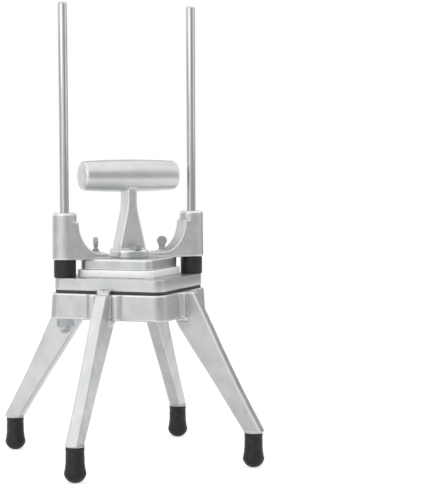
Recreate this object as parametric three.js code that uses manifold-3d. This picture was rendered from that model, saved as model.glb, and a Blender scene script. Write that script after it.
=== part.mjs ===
import * as THREE from 'three';
import { mergeVertices } from 'three/addons/utils/BufferGeometryUtils.js';
import Module from 'manifold-3d';

// A push-down french fry cutter at the bottom of its stroke. Millimetres, +Z up, front is -Y.
// The origin is the middle of the footprint on the table. The guide rods and the T-handle lie
// along X, and the square castings are turned by 45 degrees, with the legs on the diagonals.

// Overall sizes
const footprint = 220;
const overallHeight = 482.6;

// Clearances
const fit = 0.3;        // round a piece that passes through or sits in another
const restGap = 0.25;   // under the pusher at the end of its stroke
const cutOverrun = 2;   // how far a cutting solid runs past the face that it cuts
const weldDistance = 0.0001;

// Rubber boots and the rings over them
const boot = {
  neckRadius: 9.5, bulbRadius: 11.2, waistHeight: 21, flatRadius: 4,
  height: 36, lipRound: 1, socketDepth: 20,
};
const footRing = { radius: 10, thickness: 1.5 };

// Legs: outline points are distances from the middle axis, thickness runs across
const leg = {
  topThickness: 13.2, bottomThickness: 14, proud: 10.8, seatDepth: 6, crownRound: 2.5,
  bottomSpread: 10.5, edge: 2, spigotRadius: 5, spigotLength: 18.5,
  heelDepth: 9.3, heelDrop: 4.5,
};
const toeTrimShare = 0.706;
const legOuterShares = [[0.236, 0.757], [0.397, 0.584], [0.69, 0.286]];
const legInnerShares = [[0.289, 0.56], [0.59, 0.351], [0.785, 0.177]];
const ear = { reach: 3.4, proud: 6.7, depth: 5.3, thickness: 3.6, round: 2 };
const lug = { width: 14, proud: 5.7, height: 3.7, round: 1.5, frameGap: 0.4 };

// Cast base: a square ring with a deck on top and a skirt round it
const base = {
  top: 181.5, height: 27, lip: 2.6, cornerRadius: 12, draft: 1.4, rimRound: 1,
  wall: 7, deck: 8, chuteRelief: 0.55, chuteRadius: 3,
};
const pilaster = { radius: 7.5, offset: 14.3, protrusion: 5, draft: 0.6 };
const screwPad = { halfWidth: 12, thickness: 8.3 };
const rodBoss = { radius: 9 };
const legScrew = { radius: 4, headRadius: 6.5, headHeight: 4.4, grip: 9, rise: 9 };
const socketShare = 0.7;

// Guide rods and what holds them
const rod = { radius: 4.7625, tipRound: 1.2 };
const rodWasher = { radius: 9.5, thickness: 1.5 };
const capNut = { acrossFlats: 16, hexHeight: 7.8, domeRadius: 7.5, height: 15, wallOverEnd: 4 };

// Blade pack
const gasketThickness = 3;
const bladeFrame = { opening: 88.9, wall: 17.25, cornerRadius: 10.4, height: 12.5, rimRound: 0.8 };
const blade = { count: 6, thickness: 0.9, height: 5.2, bevel: 1.4, anchor: 8 };
const bumper = { radius: 11.65, height: 18.2, edge: 0.8 };

// Pusher head
const plate = { inset: 3.4, cornerRadius: 8, height: 11.4, round: 3 };
const sleeve = { radius: 12.6, draft: 0.4, length: 49.3, edge: 1, collar: 7.75 };
const bush = { radius: 7, recess: 0.5 };
const arm = {
  width: 24.4, noseX: 27.5, padHeight: 5.75, padEnd: 36, blend: 0.9, edge: 1.2, noseRound: 2,
  spotFaceRadius: 4.5,
};

// Pusher block
const block = { play: 0.45, cornerRadius: 11, height: 7.6, edge: 0.8 };
const tooth = { play: 0.7, length: 15.5 };

// T-handle
const grip = { rise: 86.75, length: 107.5, middleRadius: 17, endRadius: 15.5, edge: 4.4 };
const neck = { halfX: 5.5, halfY: 11.2, footHalfX: 15.6, corner: 2.5, fillet: 2.6 };
const neckTaperShares = { start: 0.41, startWidth: 0.285, bend: 0.57, end: 0.655 };
const flange = { halfX: 17, halfY: 21.2, chamferX: 7.7, chamferY: 5.4, height: 8.75, round: 2.2 };
const handleBolt = {
  radius: 3, acrossFlats: 10, headHeight: 4.4, edge: 0.6, x: 2, y: 16.6, threadEnd: 2.5,
};

// Thumb screws
const thumb = {
  x: 38, radius: 3, collarRadius: 3.5, collarHeight: 4.2, neckHeight: 1.8, neckWidth: 6,
  headWidth: 10.8, headHeight: 10.4, headThickness: 4, edge: 0.9, threadEnd: 2.5,
};
const thumbTurn = { left: 1.4, right: -0.38 };

// Levels that follow from the sizes above
const diagonal = Math.PI / 4;
const frameHalf = bladeFrame.opening / 2 + bladeFrame.wall;
const baseHalf = frameHalf + base.lip;
const baseBottom = base.top - base.height;
const rodOffset = (frameHalf - bladeFrame.cornerRadius) * Math.SQRT2;
const chuteHalf = bladeFrame.opening / 2 + base.chuteRelief;
const blockHalf = bladeFrame.opening / 2 - block.play;
const plateHalf = blockHalf - plate.inset;
const overhangX = plateHalf * Math.SQRT2 - arm.width / 2 - arm.edge;
const cells = blade.count + 1;
const bladePitch = bladeFrame.opening / cells;
const toothWidth = bladePitch - blade.thickness - 2 * tooth.play;
const legBack = baseHalf - leg.seatDepth;
const legReach = baseHalf + leg.proud;
const padBack = legBack - screwPad.thickness;
const screwHeight = baseBottom + legScrew.rise;
const toeReach = leg.bottomSpread + leg.bottomThickness / 2 - toeTrimShare * leg.edge;
const footReach = footprint / 2 * Math.SQRT2 - toeReach;
const legBottom = boot.height + footRing.thickness;
const legTop = base.top - fit;
const frameBottom = base.top + gasketThickness;
const frameTop = frameBottom + bladeFrame.height;
const blockBottom = frameTop + restGap;
const plateBottom = blockBottom + block.height;
const plateTop = plateBottom + plate.height;
const padTop = plateTop + arm.padHeight;
const gripCentre = plateTop + grip.rise;
const flangeTop = plateTop + flange.height;
const sleeveBottom = frameTop + bumper.height + restGap;
const sleeveTop = sleeveBottom + sleeve.length;
const rodHoleRadius = rod.radius + fit;

// How finely round stretches are cut
const roundSides = 24;
const smallSides = 16;
const bootSides = 20;
const hexSides = 6;
const cornerSteps = 5;
const edgeSteps = 3;
const curveSteps = 4;

const wasm = await Module();
wasm.setup();

// Closed geometry to a solid that can be cut and joined
function solid(geometry) {
  const bare = geometry.clone();
  bare.deleteAttribute('normal');
  bare.deleteAttribute('uv');
  const merged = mergeVertices(bare, weldDistance);
  const index = merged.index.array;
  return new wasm.Manifold(new wasm.Mesh({
    numProp: 3,
    vertProperties: new Float32Array(merged.attributes.position.array),
    triVerts: new Uint32Array(index),
  }));
}

function joined(geometries) {
  return geometries.map(solid).reduce((whole, piece) => whole.add(piece));
}

function cut(whole, geometries) {
  return geometries.map(solid).reduce((rest, piece) => rest.subtract(piece), whole);
}

// A solid back to geometry that a mesh can show
function shown(manifold) {
  const mesh = manifold.getMesh();
  const geometry = new THREE.BufferGeometry();
  geometry.setAttribute('position', new THREE.BufferAttribute(mesh.vertProperties, 3));
  geometry.setIndex(new THREE.BufferAttribute(mesh.triVerts, 1));
  const faceted = geometry.toNonIndexed();
  faceted.computeVertexNormals();
  return faceted;
}

// Rings of points, from the lowest to the highest, skinned and capped flat at both ends
function skinned(rings) {
  const count = rings[0].length;
  const points = rings.flat();
  const index = [];
  for (let level = 0; level + 1 < rings.length; level += 1) {
    for (let side = 0; side < count; side += 1) {
      const next = (side + 1) % count;
      const low = level * count;
      const high = low + count;
      index.push(low + side, low + next, high + next);
      index.push(low + side, high + next, high + side);
    }
  }
  const last = (rings.length - 1) * count;
  for (let side = 1; side + 1 < count; side += 1) {
    index.push(0, side + 1, side);
    index.push(last, last + side, last + side + 1);
  }
  const geometry = new THREE.BufferGeometry();
  geometry.setFromPoints(points);
  geometry.setIndex(index);
  return geometry;
}

// One level ring of a rectangle with round corners, anticlockwise seen from above
function roundedRing(halfX, halfY, radius, z, steps = cornerSteps) {
  const points = [];
  const corners = [[1, 1], [-1, 1], [-1, -1], [1, -1]];
  corners.forEach(([signX, signY], corner) => {
    for (let step = 0; step <= steps; step += 1) {
      const angle = (corner + step / steps) * Math.PI / 2;
      const x = signX * (halfX - radius) + radius * Math.cos(angle);
      const y = signY * (halfY - radius) + radius * Math.sin(angle);
      points.push(new THREE.Vector3(x, y, z));
    }
  });
  return points;
}

// A square slab with round corners and a rounded top edge
function roundedSlab(halfSide, cornerRadius, bottom, top, edgeRound, steps = edgeSteps) {
  const rings = [roundedRing(halfSide, halfSide, cornerRadius, bottom)];
  for (let step = 0; step <= steps; step += 1) {
    const angle = step / steps * Math.PI / 2;
    const inset = edgeRound * (1 - Math.cos(angle));
    const z = top - edgeRound * (1 - Math.sin(angle));
    rings.push(roundedRing(halfSide - inset, halfSide - inset, cornerRadius - inset, z));
  }
  return skinned(rings);
}

function box(lowX, highX, lowY, highY, lowZ, highZ) {
  const geometry = new THREE.BoxGeometry(highX - lowX, highY - lowY, highZ - lowZ);
  geometry.translate((lowX + highX) / 2, (lowY + highY) / 2, (lowZ + highZ) / 2);
  return geometry;
}

// A round bar standing between two levels
function bar(radius, bottom, top, x = 0, y = 0, sides = smallSides, topRadius = radius) {
  const geometry = new THREE.CylinderGeometry(topRadius, radius, top - bottom, sides);
  geometry.rotateX(Math.PI / 2);
  geometry.translate(x, y, (bottom + top) / 2);
  return geometry;
}

// A turned piece round Z from pairs of radius and height
function turned(pairs, sides = roundSides) {
  const geometry = new THREE.LatheGeometry(pairs.map(([radius, z]) => new THREE.Vector2(radius, z)), sides);
  geometry.rotateX(Math.PI / 2);
  return geometry;
}

// Points of a quarter arc for turned profiles, from angle start to end in quarter turns
function arcPairs(centreRadius, centreZ, radius, start, end, steps) {
  const pairs = [];
  for (let step = 0; step <= steps; step += 1) {
    const angle = (start + (end - start) * step / steps) * Math.PI / 2;
    pairs.push([centreRadius + radius * Math.cos(angle), centreZ + radius * Math.sin(angle)]);
  }
  return pairs;
}

// A tube with chamfered outer edges
function chamferedTube(radius, bore, bottom, top, edge, topRadius = radius) {
  return turned([
    [bore, bottom], [radius - edge, bottom], [radius, bottom + edge],
    [topRadius, top - edge], [topRadius - edge, top], [bore, top], [bore, bottom],
  ]);
}

// A hexagonal head with its upper corners turned off
function hexHead(acrossFlats, bottom, height, edge, x, y) {
  const corner = acrossFlats / Math.sqrt(3);
  const hex = bar(corner, bottom, bottom + height, 0, 0, hexSides).rotateZ(Math.PI / 6);
  const crown = turned([
    [0, bottom], [corner, bottom], [corner, bottom + height - edge],
    [acrossFlats / 2 - edge / 2, bottom + height], [0, bottom + height],
  ]);
  const head = solid(hex).intersect(solid(crown));
  return head.translate(x, y, 0);
}

const paint = {
  castAluminium: new THREE.MeshStandardMaterial({ color: '#c9cbcc', roughness: 0.45, metalness: 0.85 }),
  brightSteel: new THREE.MeshStandardMaterial({ color: '#d6d8da', roughness: 0.2, metalness: 1 }),
  bladeSteel: new THREE.MeshStandardMaterial({ color: '#cfd2d4', roughness: 0.25, metalness: 1 }),
  blackRubber: new THREE.MeshStandardMaterial({ color: '#2b2c2d', roughness: 0.7, metalness: 0 }),
  whitePlastic: new THREE.MeshStandardMaterial({ color: '#eef0ea', roughness: 0.4, metalness: 0 }),
  palePlastic: new THREE.MeshStandardMaterial({ color: '#d9d6cc', roughness: 0.5, metalness: 0 }),
};

const cutter = new THREE.Group();

function place(name, geometry, material, turn = 0, parent = cutter) {
  const mesh = new THREE.Mesh(geometry, material.clone());
  mesh.name = name;
  mesh.rotation.z = turn;
  parent.add(mesh);
  return mesh;
}

// The four sides on which the legs stand, as turns about Z from +X
const sides = [
  { name: 'front', turn: -3 * diagonal, locates: true },
  { name: 'right', turn: -diagonal, locates: false },
  { name: 'rear', turn: diagonal, locates: true },
  { name: 'left', turn: 3 * diagonal, locates: false },
];
const ends = [{ name: 'left', sign: -1 }, { name: 'right', sign: 1 }];

// Base casting, drawn with its sides along X and Y
function baseCasting() {
  const outer = [
    roundedRing(baseHalf + base.draft, baseHalf + base.draft, base.cornerRadius, baseBottom),
  ];
  for (let step = 0; step <= edgeSteps; step += 1) {
    const angle = step / edgeSteps * Math.PI / 2;
    const half = baseHalf - base.rimRound * (1 - Math.cos(angle));
    const z = base.top - base.rimRound * (1 - Math.sin(angle));
    outer.push(roundedRing(half, half, base.cornerRadius, z));
  }
  const innerHalf = baseHalf - base.wall;
  const cavity = skinned([baseBottom - cutOverrun, base.top - base.deck].map((z) => (
    roundedRing(innerHalf, innerHalf, base.cornerRadius - base.wall / 2, z))));
  let casting = cut(solid(skinned(outer)), [cavity]);
  const bosses = ends.map(({ sign }) => {
    const boss = bar(rodBoss.radius, baseBottom, base.top - base.deck / 2, sign * rodOffset);
    return boss.rotateZ(-diagonal);
  });
  const ribs = sides.flatMap(({ turn }) => {
    const along = turn - diagonal;
    const pad = box(padBack, baseHalf - base.wall / 2, -screwPad.halfWidth, screwPad.halfWidth,
      baseBottom, base.top - base.deck / 2);
    const bars = [-1, 1].map((sign) => bar(pilaster.radius + pilaster.draft, baseBottom,
      base.top - base.rimRound, baseHalf + pilaster.protrusion - pilaster.radius,
      sign * pilaster.offset, smallSides, pilaster.radius));
    const caps = [-1, 1].map((sign) => bar(pilaster.radius, base.top - base.rimRound,
      base.top, baseHalf + pilaster.protrusion - pilaster.radius,
      sign * pilaster.offset, smallSides, pilaster.radius - base.rimRound));
    return [pad, ...bars, ...caps].map((piece) => piece.rotateZ(along));
  });
  casting = casting.add(joined([...bosses, ...ribs]));
  const slotHalf = leg.topThickness / 2 + fit;
  const chute = skinned([baseBottom - cutOverrun, base.top + cutOverrun].map((z) => (
    roundedRing(chuteHalf, chuteHalf, base.chuteRadius, z))));
  const slots = sides.flatMap(({ turn }) => {
    const along = turn - diagonal;
    const slot = box(legBack - fit, legReach, -slotHalf, slotHalf,
      baseBottom - cutOverrun, base.top + cutOverrun);
    const hole = bar(legScrew.radius + fit, 0, legBack - padBack + 2 * cutOverrun);
    hole.rotateY(Math.PI / 2);
    hole.translate(padBack - cutOverrun, 0, screwHeight);
    return [slot.rotateZ(along), hole.rotateZ(along)];
  });
  const rodHoles = ends.map(({ sign }) => (
    bar(rodHoleRadius, baseBottom - cutOverrun, base.top + cutOverrun, sign * rodOffset).rotateZ(-diagonal)));
  return shown(cut(casting, [chute, ...slots, ...rodHoles]));
}

// A leg, drawn in the XZ plane with its foot on +X
function legCasting(locates) {
  const rise = legTop - legBottom;
  const outerRun = footReach + leg.bottomSpread - legReach;
  const heelBack = baseHalf - leg.heelDepth;
  const innerRun = footReach - leg.bottomSpread - heelBack;
  const heel = baseBottom - fit;
  const outline = new THREE.Shape();
  outline.moveTo(legBack, legTop);
  outline.lineTo(legBack, heel);
  outline.lineTo(heelBack, heel);
  outline.lineTo(heelBack, heel - leg.heelDrop);
  legInnerShares.forEach(([run, up]) => {
    outline.lineTo(heelBack + run * innerRun, legBottom + up * rise);
  });
  outline.lineTo(footReach - leg.bottomSpread, legBottom);
  outline.lineTo(footReach + leg.bottomSpread, legBottom);
  [...legOuterShares].reverse().forEach(([run, up]) => {
    outline.lineTo(legReach + run * outerRun, legBottom + up * rise);
  });
  outline.lineTo(legReach, legTop - leg.crownRound);
  outline.lineTo(legReach - leg.crownRound, legTop);
  const web = new THREE.ExtrudeGeometry(outline, {
    depth: leg.topThickness - 2 * leg.edge, bevelEnabled: true, bevelThickness: leg.edge,
    bevelSize: leg.edge, bevelOffset: -leg.edge, bevelSegments: 2, curveSegments: cornerSteps,
  });
  web.rotateX(Math.PI / 2);
  web.translate(0, leg.topThickness / 2 - leg.edge, 0);
  const position = web.attributes.position;
  const widening = leg.bottomThickness / leg.topThickness - 1;
  const taperRise = baseBottom - legBottom;
  for (let i = 0; i < position.count; i += 1) {
    const down = Math.min(1, Math.max(0, (baseBottom - position.getZ(i)) / taperRise));
    position.setY(i, position.getY(i) * (1 + widening * down));
  }
  const spigot = bar(leg.spigotRadius, legBottom - leg.spigotLength, legBottom + leg.edge, footReach);
  const earHalf = leg.topThickness / 2 + ear.reach;
  const ears = skinned([heel - ear.thickness, heel].map((z) => (
    roundedRing((ear.proud + ear.depth) / 2, earHalf, ear.round, z))));
  ears.translate(baseHalf + (ear.proud - ear.depth) / 2, 0, 0);
  const pieces = [web, spigot, ears];
  if (locates) {
    const lugBottom = base.top + fit;
    const lugBack = frameHalf + lug.frameGap;
    const lugFront = baseHalf + lug.proud;
    const lugTop = lugBottom + lug.height;
    const tabLevels = [[lugBottom, 0], [lugTop - lug.round / 2, 0], [lugTop, lug.round / 2]];
    const tab = skinned(tabLevels.map(([z, inset]) => (
      roundedRing((lugFront - lugBack) / 2 - inset, lug.width / 2 - inset, lug.round, z))));
    tab.translate((lugFront + lugBack) / 2, 0, 0);
    const rootHalf = leg.topThickness / 2 - leg.edge;
    const root = box(baseHalf + fit, lugFront - lug.round / 2, -rootHalf, rootHalf,
      legTop - leg.crownRound, lugBottom + lug.height / 2);
    pieces.push(tab, root);
  }
  const thread = bar(legScrew.radius + fit, 0, legScrew.grip + fit);
  thread.rotateY(Math.PI / 2);
  thread.translate(legBack - fit, 0, screwHeight);
  return shown(cut(joined(pieces), [thread]));
}

// Screw that holds a leg, lying along +X with its head inside the base
function legScrewSolid() {
  const head = bar(legScrew.headRadius, padBack - legScrew.headHeight, padBack);
  const shank = bar(legScrew.radius, padBack - legScrew.headHeight / 2, legBack + legScrew.grip - 2 * fit);
  const socket = bar(legScrew.radius * socketShare, padBack - legScrew.headHeight - cutOverrun,
    padBack - legScrew.headHeight / 2, 0, 0, hexSides);
  const screw = shown(cut(joined([head, shank]), [socket]));
  screw.rotateY(Math.PI / 2);
  screw.translate(0, 0, screwHeight);
  return screw;
}

function bootGeometry() {
  const outer = [[0, 0]];
  const bulbHeight = Math.sqrt(boot.bulbRadius ** 2 - boot.flatRadius ** 2);
  const start = -Math.acos(boot.flatRadius / boot.bulbRadius) / (Math.PI / 2);
  outer.push(...arcPairs(0, bulbHeight, boot.bulbRadius, start, 0, curveSteps));
  const waist = new THREE.CubicBezierCurve(
    new THREE.Vector2(boot.bulbRadius, bulbHeight),
    new THREE.Vector2(boot.bulbRadius, bulbHeight + (boot.waistHeight - bulbHeight) / 3),
    new THREE.Vector2(boot.neckRadius, boot.waistHeight - (boot.waistHeight - bulbHeight) / 3),
    new THREE.Vector2(boot.neckRadius, boot.waistHeight),
  );
  waist.getPoints(edgeSteps).slice(1).forEach((point) => outer.push([point.x, point.y]));
  const lip = arcPairs(boot.neckRadius - boot.lipRound, boot.height - boot.lipRound, boot.lipRound, 0, 1, 1);
  const socket = leg.spigotRadius + fit;
  const floor = boot.height - boot.socketDepth;
  const inner = [[socket, boot.height], [socket, floor], [0, floor]];
  return turned([...outer, ...lip, ...inner], bootSides);
}

const footRingGeometry = turned([
  [leg.spigotRadius + fit, boot.height], [footRing.radius, boot.height],
  [footRing.radius, legBottom], [leg.spigotRadius + fit, legBottom], [leg.spigotRadius + fit, boot.height],
], bootSides);

place('base_casting', baseCasting(), paint.castAluminium, diagonal);
sides.forEach(({ name, turn, locates }) => {
  const station = new THREE.Group();
  station.rotation.z = turn;
  cutter.add(station);
  place(`leg_${name}`, legCasting(locates), paint.castAluminium, 0, station);
  place(`leg_screw_${name}`, legScrewSolid(), paint.brightSteel, 0, station);
  place(`foot_ring_${name}`, footRingGeometry, paint.castAluminium, 0, station).position.x = footReach;
  place(`foot_boot_${name}`, bootGeometry(), paint.blackRubber, 0, station).position.x = footReach;
});

// Guide rods, their washers and their cap nuts
const washerBottom = baseBottom - rodWasher.thickness;
const nutBottom = washerBottom - capNut.height;
const rodBottom = nutBottom + capNut.wallOverEnd + fit;

function rodGeometry() {
  return turned([
    [0, rodBottom], [rod.radius - rod.tipRound / 2, rodBottom], [rod.radius, rodBottom + rod.tipRound / 2],
    ...arcPairs(rod.radius - rod.tipRound, overallHeight - rod.tipRound, rod.tipRound, 0, 1, edgeSteps),
    [0, overallHeight],
  ]);
}

function capNutGeometry() {
  const corner = capNut.acrossFlats / Math.sqrt(3);
  const hex = bar(corner, washerBottom - capNut.hexHeight, washerBottom, 0, 0, hexSides);
  const dome = new THREE.EllipseCurve(0, washerBottom - capNut.hexHeight, capNut.domeRadius,
    capNut.height - capNut.hexHeight, 3 * Math.PI / 2, 2 * Math.PI);
  const domePairs = dome.getPoints(curveSteps).map((point) => [Math.max(0, point.x), point.y]);
  domePairs[0][0] = 0;
  const cap = turned([...domePairs, [capNut.domeRadius, washerBottom - capNut.hexHeight / 2],
    [0, washerBottom - capNut.hexHeight / 2]], bootSides);
  const bore = bar(rodHoleRadius, nutBottom + capNut.wallOverEnd, washerBottom + cutOverrun, 0, 0,
    roundSides);
  return shown(cut(joined([hex, cap]), [bore]));
}

ends.forEach(({ name, sign }) => {
  const station = new THREE.Group();
  station.position.x = sign * rodOffset;
  cutter.add(station);
  place(`guide_rod_${name}`, rodGeometry(), paint.brightSteel, 0, station);
  place(`rod_washer_${name}`, turned([
    [rodHoleRadius, washerBottom], [rodWasher.radius, washerBottom], [rodWasher.radius, baseBottom],
    [rodHoleRadius, baseBottom], [rodHoleRadius, washerBottom],
  ], bootSides), paint.brightSteel, 0, station);
  place(`rod_cap_nut_${name}`, capNutGeometry(), paint.brightSteel, 0, station);
  place(`bumper_${name}`, chamferedTube(bumper.radius, rodHoleRadius, frameTop, frameTop + bumper.height,
    bumper.edge), paint.blackRubber, 0, station);
});

// Blade frame and gasket, drawn with their sides along X and Y
const bladeReach = bladeFrame.opening / 2 + blade.anchor;
const lowerBladeBottom = frameBottom + fit;
const upperBladeBottom = lowerBladeBottom + blade.height + fit;
const bladePlaces = Array.from({ length: blade.count }, (_, i) => (i - (blade.count - 1) / 2) * bladePitch);

function frameHoles(bottom, top) {
  const opening = skinned([bottom - cutOverrun, top + cutOverrun].map((z) => (
    roundedRing(bladeFrame.opening / 2, bladeFrame.opening / 2, base.chuteRadius, z))));
  const holes = ends.map(({ sign }) => (
    bar(rodHoleRadius, bottom - cutOverrun, top + cutOverrun, sign * rodOffset).rotateZ(-diagonal)));
  return [opening, ...holes];
}

function bladeFrameGeometry() {
  const slots = bladePlaces.flatMap((at) => {
    const half = blade.thickness / 2 + fit;
    const reach = bladeReach + fit;
    const lowTop = lowerBladeBottom + blade.height + fit;
    const highTop = upperBladeBottom + blade.height + fit;
    return [
      box(-reach, reach, at - half, at + half, frameBottom - cutOverrun, lowTop),
      box(at - half, at + half, -reach, reach, frameBottom - cutOverrun, highTop),
    ];
  });
  const slab = roundedSlab(frameHalf, bladeFrame.cornerRadius, frameBottom, frameTop, bladeFrame.rimRound);
  return shown(cut(solid(slab), [...frameHoles(frameBottom, frameTop), ...slots]));
}

function gasketGeometry() {
  const slab = skinned([base.top, frameBottom].map((z) => (
    roundedRing(frameHalf, frameHalf, bladeFrame.cornerRadius, z))));
  return shown(cut(solid(slab), frameHoles(base.top, frameBottom)));
}

// A strip along X with its cutting edge up, standing on z = 0
function bladeStrip() {
  const half = blade.thickness / 2;
  const section = new THREE.Shape([
    new THREE.Vector2(-half, 0), new THREE.Vector2(half, 0),
    new THREE.Vector2(half, blade.height - blade.bevel), new THREE.Vector2(0, blade.height),
    new THREE.Vector2(-half, blade.height - blade.bevel),
  ]);
  const strip = new THREE.ExtrudeGeometry(section, { depth: 2 * bladeReach, bevelEnabled: false });
  strip.translate(0, 0, -bladeReach);
  strip.rotateX(Math.PI / 2);
  strip.rotateZ(Math.PI / 2);
  return strip;
}

place('blade_gasket', gasketGeometry(), paint.blackRubber, diagonal);
place('blade_frame', bladeFrameGeometry(), paint.castAluminium, diagonal);
const bladePack = new THREE.Group();
bladePack.rotation.z = diagonal;
cutter.add(bladePack);
bladePlaces.forEach((at, i) => {
  const lower = place(`lower_blade_${i + 1}`, bladeStrip(), paint.bladeSteel, 0, bladePack);
  lower.position.set(0, at, lowerBladeBottom);
  const upper = place(`upper_blade_${i + 1}`, bladeStrip(), paint.bladeSteel, Math.PI / 2, bladePack);
  upper.position.set(at, 0, upperBladeBottom);
});

// Pusher head: plate, arms and sleeves in one casting
function armGeometry() {
  const curveTop = sleeveTop - sleeve.collar;
  const curveX = rodOffset - sleeve.radius + arm.blend;
  const outline = new THREE.Shape();
  outline.moveTo(arm.noseX, plateTop - plate.round);
  outline.lineTo(overhangX, plateTop - plate.round);
  outline.lineTo(overhangX, sleeveBottom);
  outline.lineTo(rodOffset, sleeveBottom);
  outline.lineTo(rodOffset, curveTop);
  outline.lineTo(curveX, curveTop);
  outline.absellipse(arm.padEnd, curveTop, curveX - arm.padEnd, curveTop - padTop, 0, -Math.PI / 2, true);
  outline.lineTo(arm.noseX + arm.noseRound, padTop);
  outline.lineTo(arm.noseX, padTop - arm.noseRound);
  const web = new THREE.ExtrudeGeometry(outline, {
    depth: arm.width - 2 * arm.edge, bevelEnabled: true, bevelThickness: arm.edge,
    bevelSize: arm.edge, bevelOffset: -arm.edge, bevelSegments: 1, curveSegments: 10,
  });
  web.rotateX(Math.PI / 2);
  web.translate(0, arm.width / 2 - arm.edge, 0);
  return web;
}

function pusherHeadGeometry() {
  const slab = roundedSlab(plateHalf, plate.cornerRadius, plateBottom, plateTop, plate.round);
  slab.rotateZ(diagonal);
  const halves = ends.map(({ sign }) => {
    const turn = sign > 0 ? 0 : Math.PI;
    const outside = chamferedTube(sleeve.radius + sleeve.draft, bush.radius + fit, sleeveBottom, sleeveTop,
      sleeve.edge, sleeve.radius);
    outside.translate(rodOffset, 0, 0);
    return { turn, web: armGeometry().rotateZ(turn), outside: outside.rotateZ(turn) };
  });
  const bores = halves.map(({ turn }) => (
    bar(bush.radius + fit, plateBottom - cutOverrun, sleeveTop + cutOverrun, rodOffset, 0, roundSides)
      .rotateZ(turn)));
  const screwHoles = ends.map(({ sign }) => (
    bar(thumb.radius + fit, plateBottom - cutOverrun, padTop + cutOverrun, sign * thumb.x)));
  const spotFaces = ends.map(({ sign }) => (
    bar(arm.spotFaceRadius, padTop, padTop + 2 * cutOverrun, sign * thumb.x)));
  const boltHoles = [-1, 1].map((sign) => (
    bar(handleBolt.radius + fit, plateBottom - cutOverrun, plateTop + cutOverrun, -sign * handleBolt.x,
      sign * handleBolt.y)));
  const head = joined([slab, ...halves.flatMap(({ web, outside }) => [web, outside])]);
  return shown(cut(head, [...bores, ...screwHoles, ...spotFaces, ...boltHoles]));
}

function bushGeometry() {
  return turned([
    [rodHoleRadius, sleeveBottom + bush.recess], [bush.radius, sleeveBottom + bush.recess],
    [bush.radius, sleeveTop - bush.recess], [rodHoleRadius, sleeveTop - bush.recess],
    [rodHoleRadius, sleeveBottom + bush.recess],
  ]);
}

// Pusher block with one tooth for each cell of the blade grid
const blockEdgeSteps = 2;

function blockGeometry() {
  const body = roundedSlab(blockHalf, block.cornerRadius, blockBottom, plateBottom, block.edge,
    blockEdgeSteps);
  const teeth = [];
  for (let row = 0; row < cells; row += 1) {
    for (let column = 0; column < cells; column += 1) {
      const x = (column - (cells - 1) / 2) * bladePitch;
      const y = (row - (cells - 1) / 2) * bladePitch;
      teeth.push(box(x - toothWidth / 2, x + toothWidth / 2, y - toothWidth / 2, y + toothWidth / 2,
        blockBottom - tooth.length, blockBottom + block.height / 2));
    }
  }
  // The corner teeth are rounded like the block, which takes them past the bumpers
  const outline = skinned([blockBottom - tooth.length - cutOverrun, plateBottom].map((z) => (
    roundedRing(blockHalf, blockHalf, block.cornerRadius, z))));
  const holes = ends.map(({ sign }) => (
    bar(thumb.radius + fit, blockBottom + thumb.threadEnd - fit, plateBottom + cutOverrun, sign * thumb.x)
      .rotateZ(-diagonal)));
  return shown(cut(joined(teeth).intersect(solid(outline)).add(solid(body)), holes));
}

// T-handle: grip, neck and flange in one casting
function gripGeometry() {
  const half = grip.length / 2;
  const bulge = grip.middleRadius - grip.endRadius;
  const pairs = [[0, -half]];
  const straight = half - grip.edge;
  const edgeCentre = grip.endRadius - grip.edge;
  pairs.push(...arcPairs(edgeCentre, -straight, grip.edge, -1, 0, edgeSteps));
  const barrelSteps = 6;
  for (let step = 1; step < barrelSteps; step += 1) {
    const share = 2 * step / barrelSteps - 1;
    pairs.push([grip.endRadius + bulge * (1 - share * share), share * straight]);
  }
  pairs.push(...arcPairs(edgeCentre, straight, grip.edge, 0, 1, edgeSteps));
  pairs.push([0, half]);
  const body = turned(pairs);
  body.rotateY(Math.PI / 2);
  body.translate(0, 0, gripCentre);
  return body;
}

function neckGeometry() {
  const rings = [];
  for (let step = 0; step <= edgeSteps; step += 1) {
    const angle = step / edgeSteps * Math.PI / 2;
    const spread = neck.fillet * (1 - Math.sin(angle));
    const sunk = step === 0 ? neck.fillet / 2 : 0;
    const z = flangeTop - sunk + neck.fillet * (1 - Math.cos(angle));
    rings.push(roundedRing(neck.footHalfX + spread / 2, neck.halfY + spread, neck.corner, z, edgeSteps));
  }
  const rise = gripCentre - flangeTop;
  const shares = neckTaperShares;
  const startHalfX = neck.halfX + shares.startWidth * (neck.footHalfX - neck.halfX);
  const taper = new THREE.QuadraticBezierCurve(
    new THREE.Vector2(startHalfX, flangeTop + shares.start * rise),
    new THREE.Vector2(neck.halfX, flangeTop + shares.bend * rise),
    new THREE.Vector2(neck.halfX, flangeTop + shares.end * rise),
  );
  taper.getPoints(curveSteps).forEach(({ x, y }) => {
    rings.push(roundedRing(x, neck.halfY, neck.corner, y, edgeSteps));
  });
  rings.push(roundedRing(neck.halfX, neck.halfY, neck.corner, gripCentre, edgeSteps));
  return skinned(rings);
}

function flangeRing(inset, z) {
  const x = flange.halfX - inset;
  const y = flange.halfY - inset;
  const cornerX = x - flange.chamferX;
  const cornerY = y - flange.chamferY;
  return [[x, -cornerY], [x, cornerY], [cornerX, y], [-cornerX, y], [-x, cornerY], [-x, -cornerY],
    [-cornerX, -y], [cornerX, -y]].map(([px, py]) => new THREE.Vector3(px, py, z));
}

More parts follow.
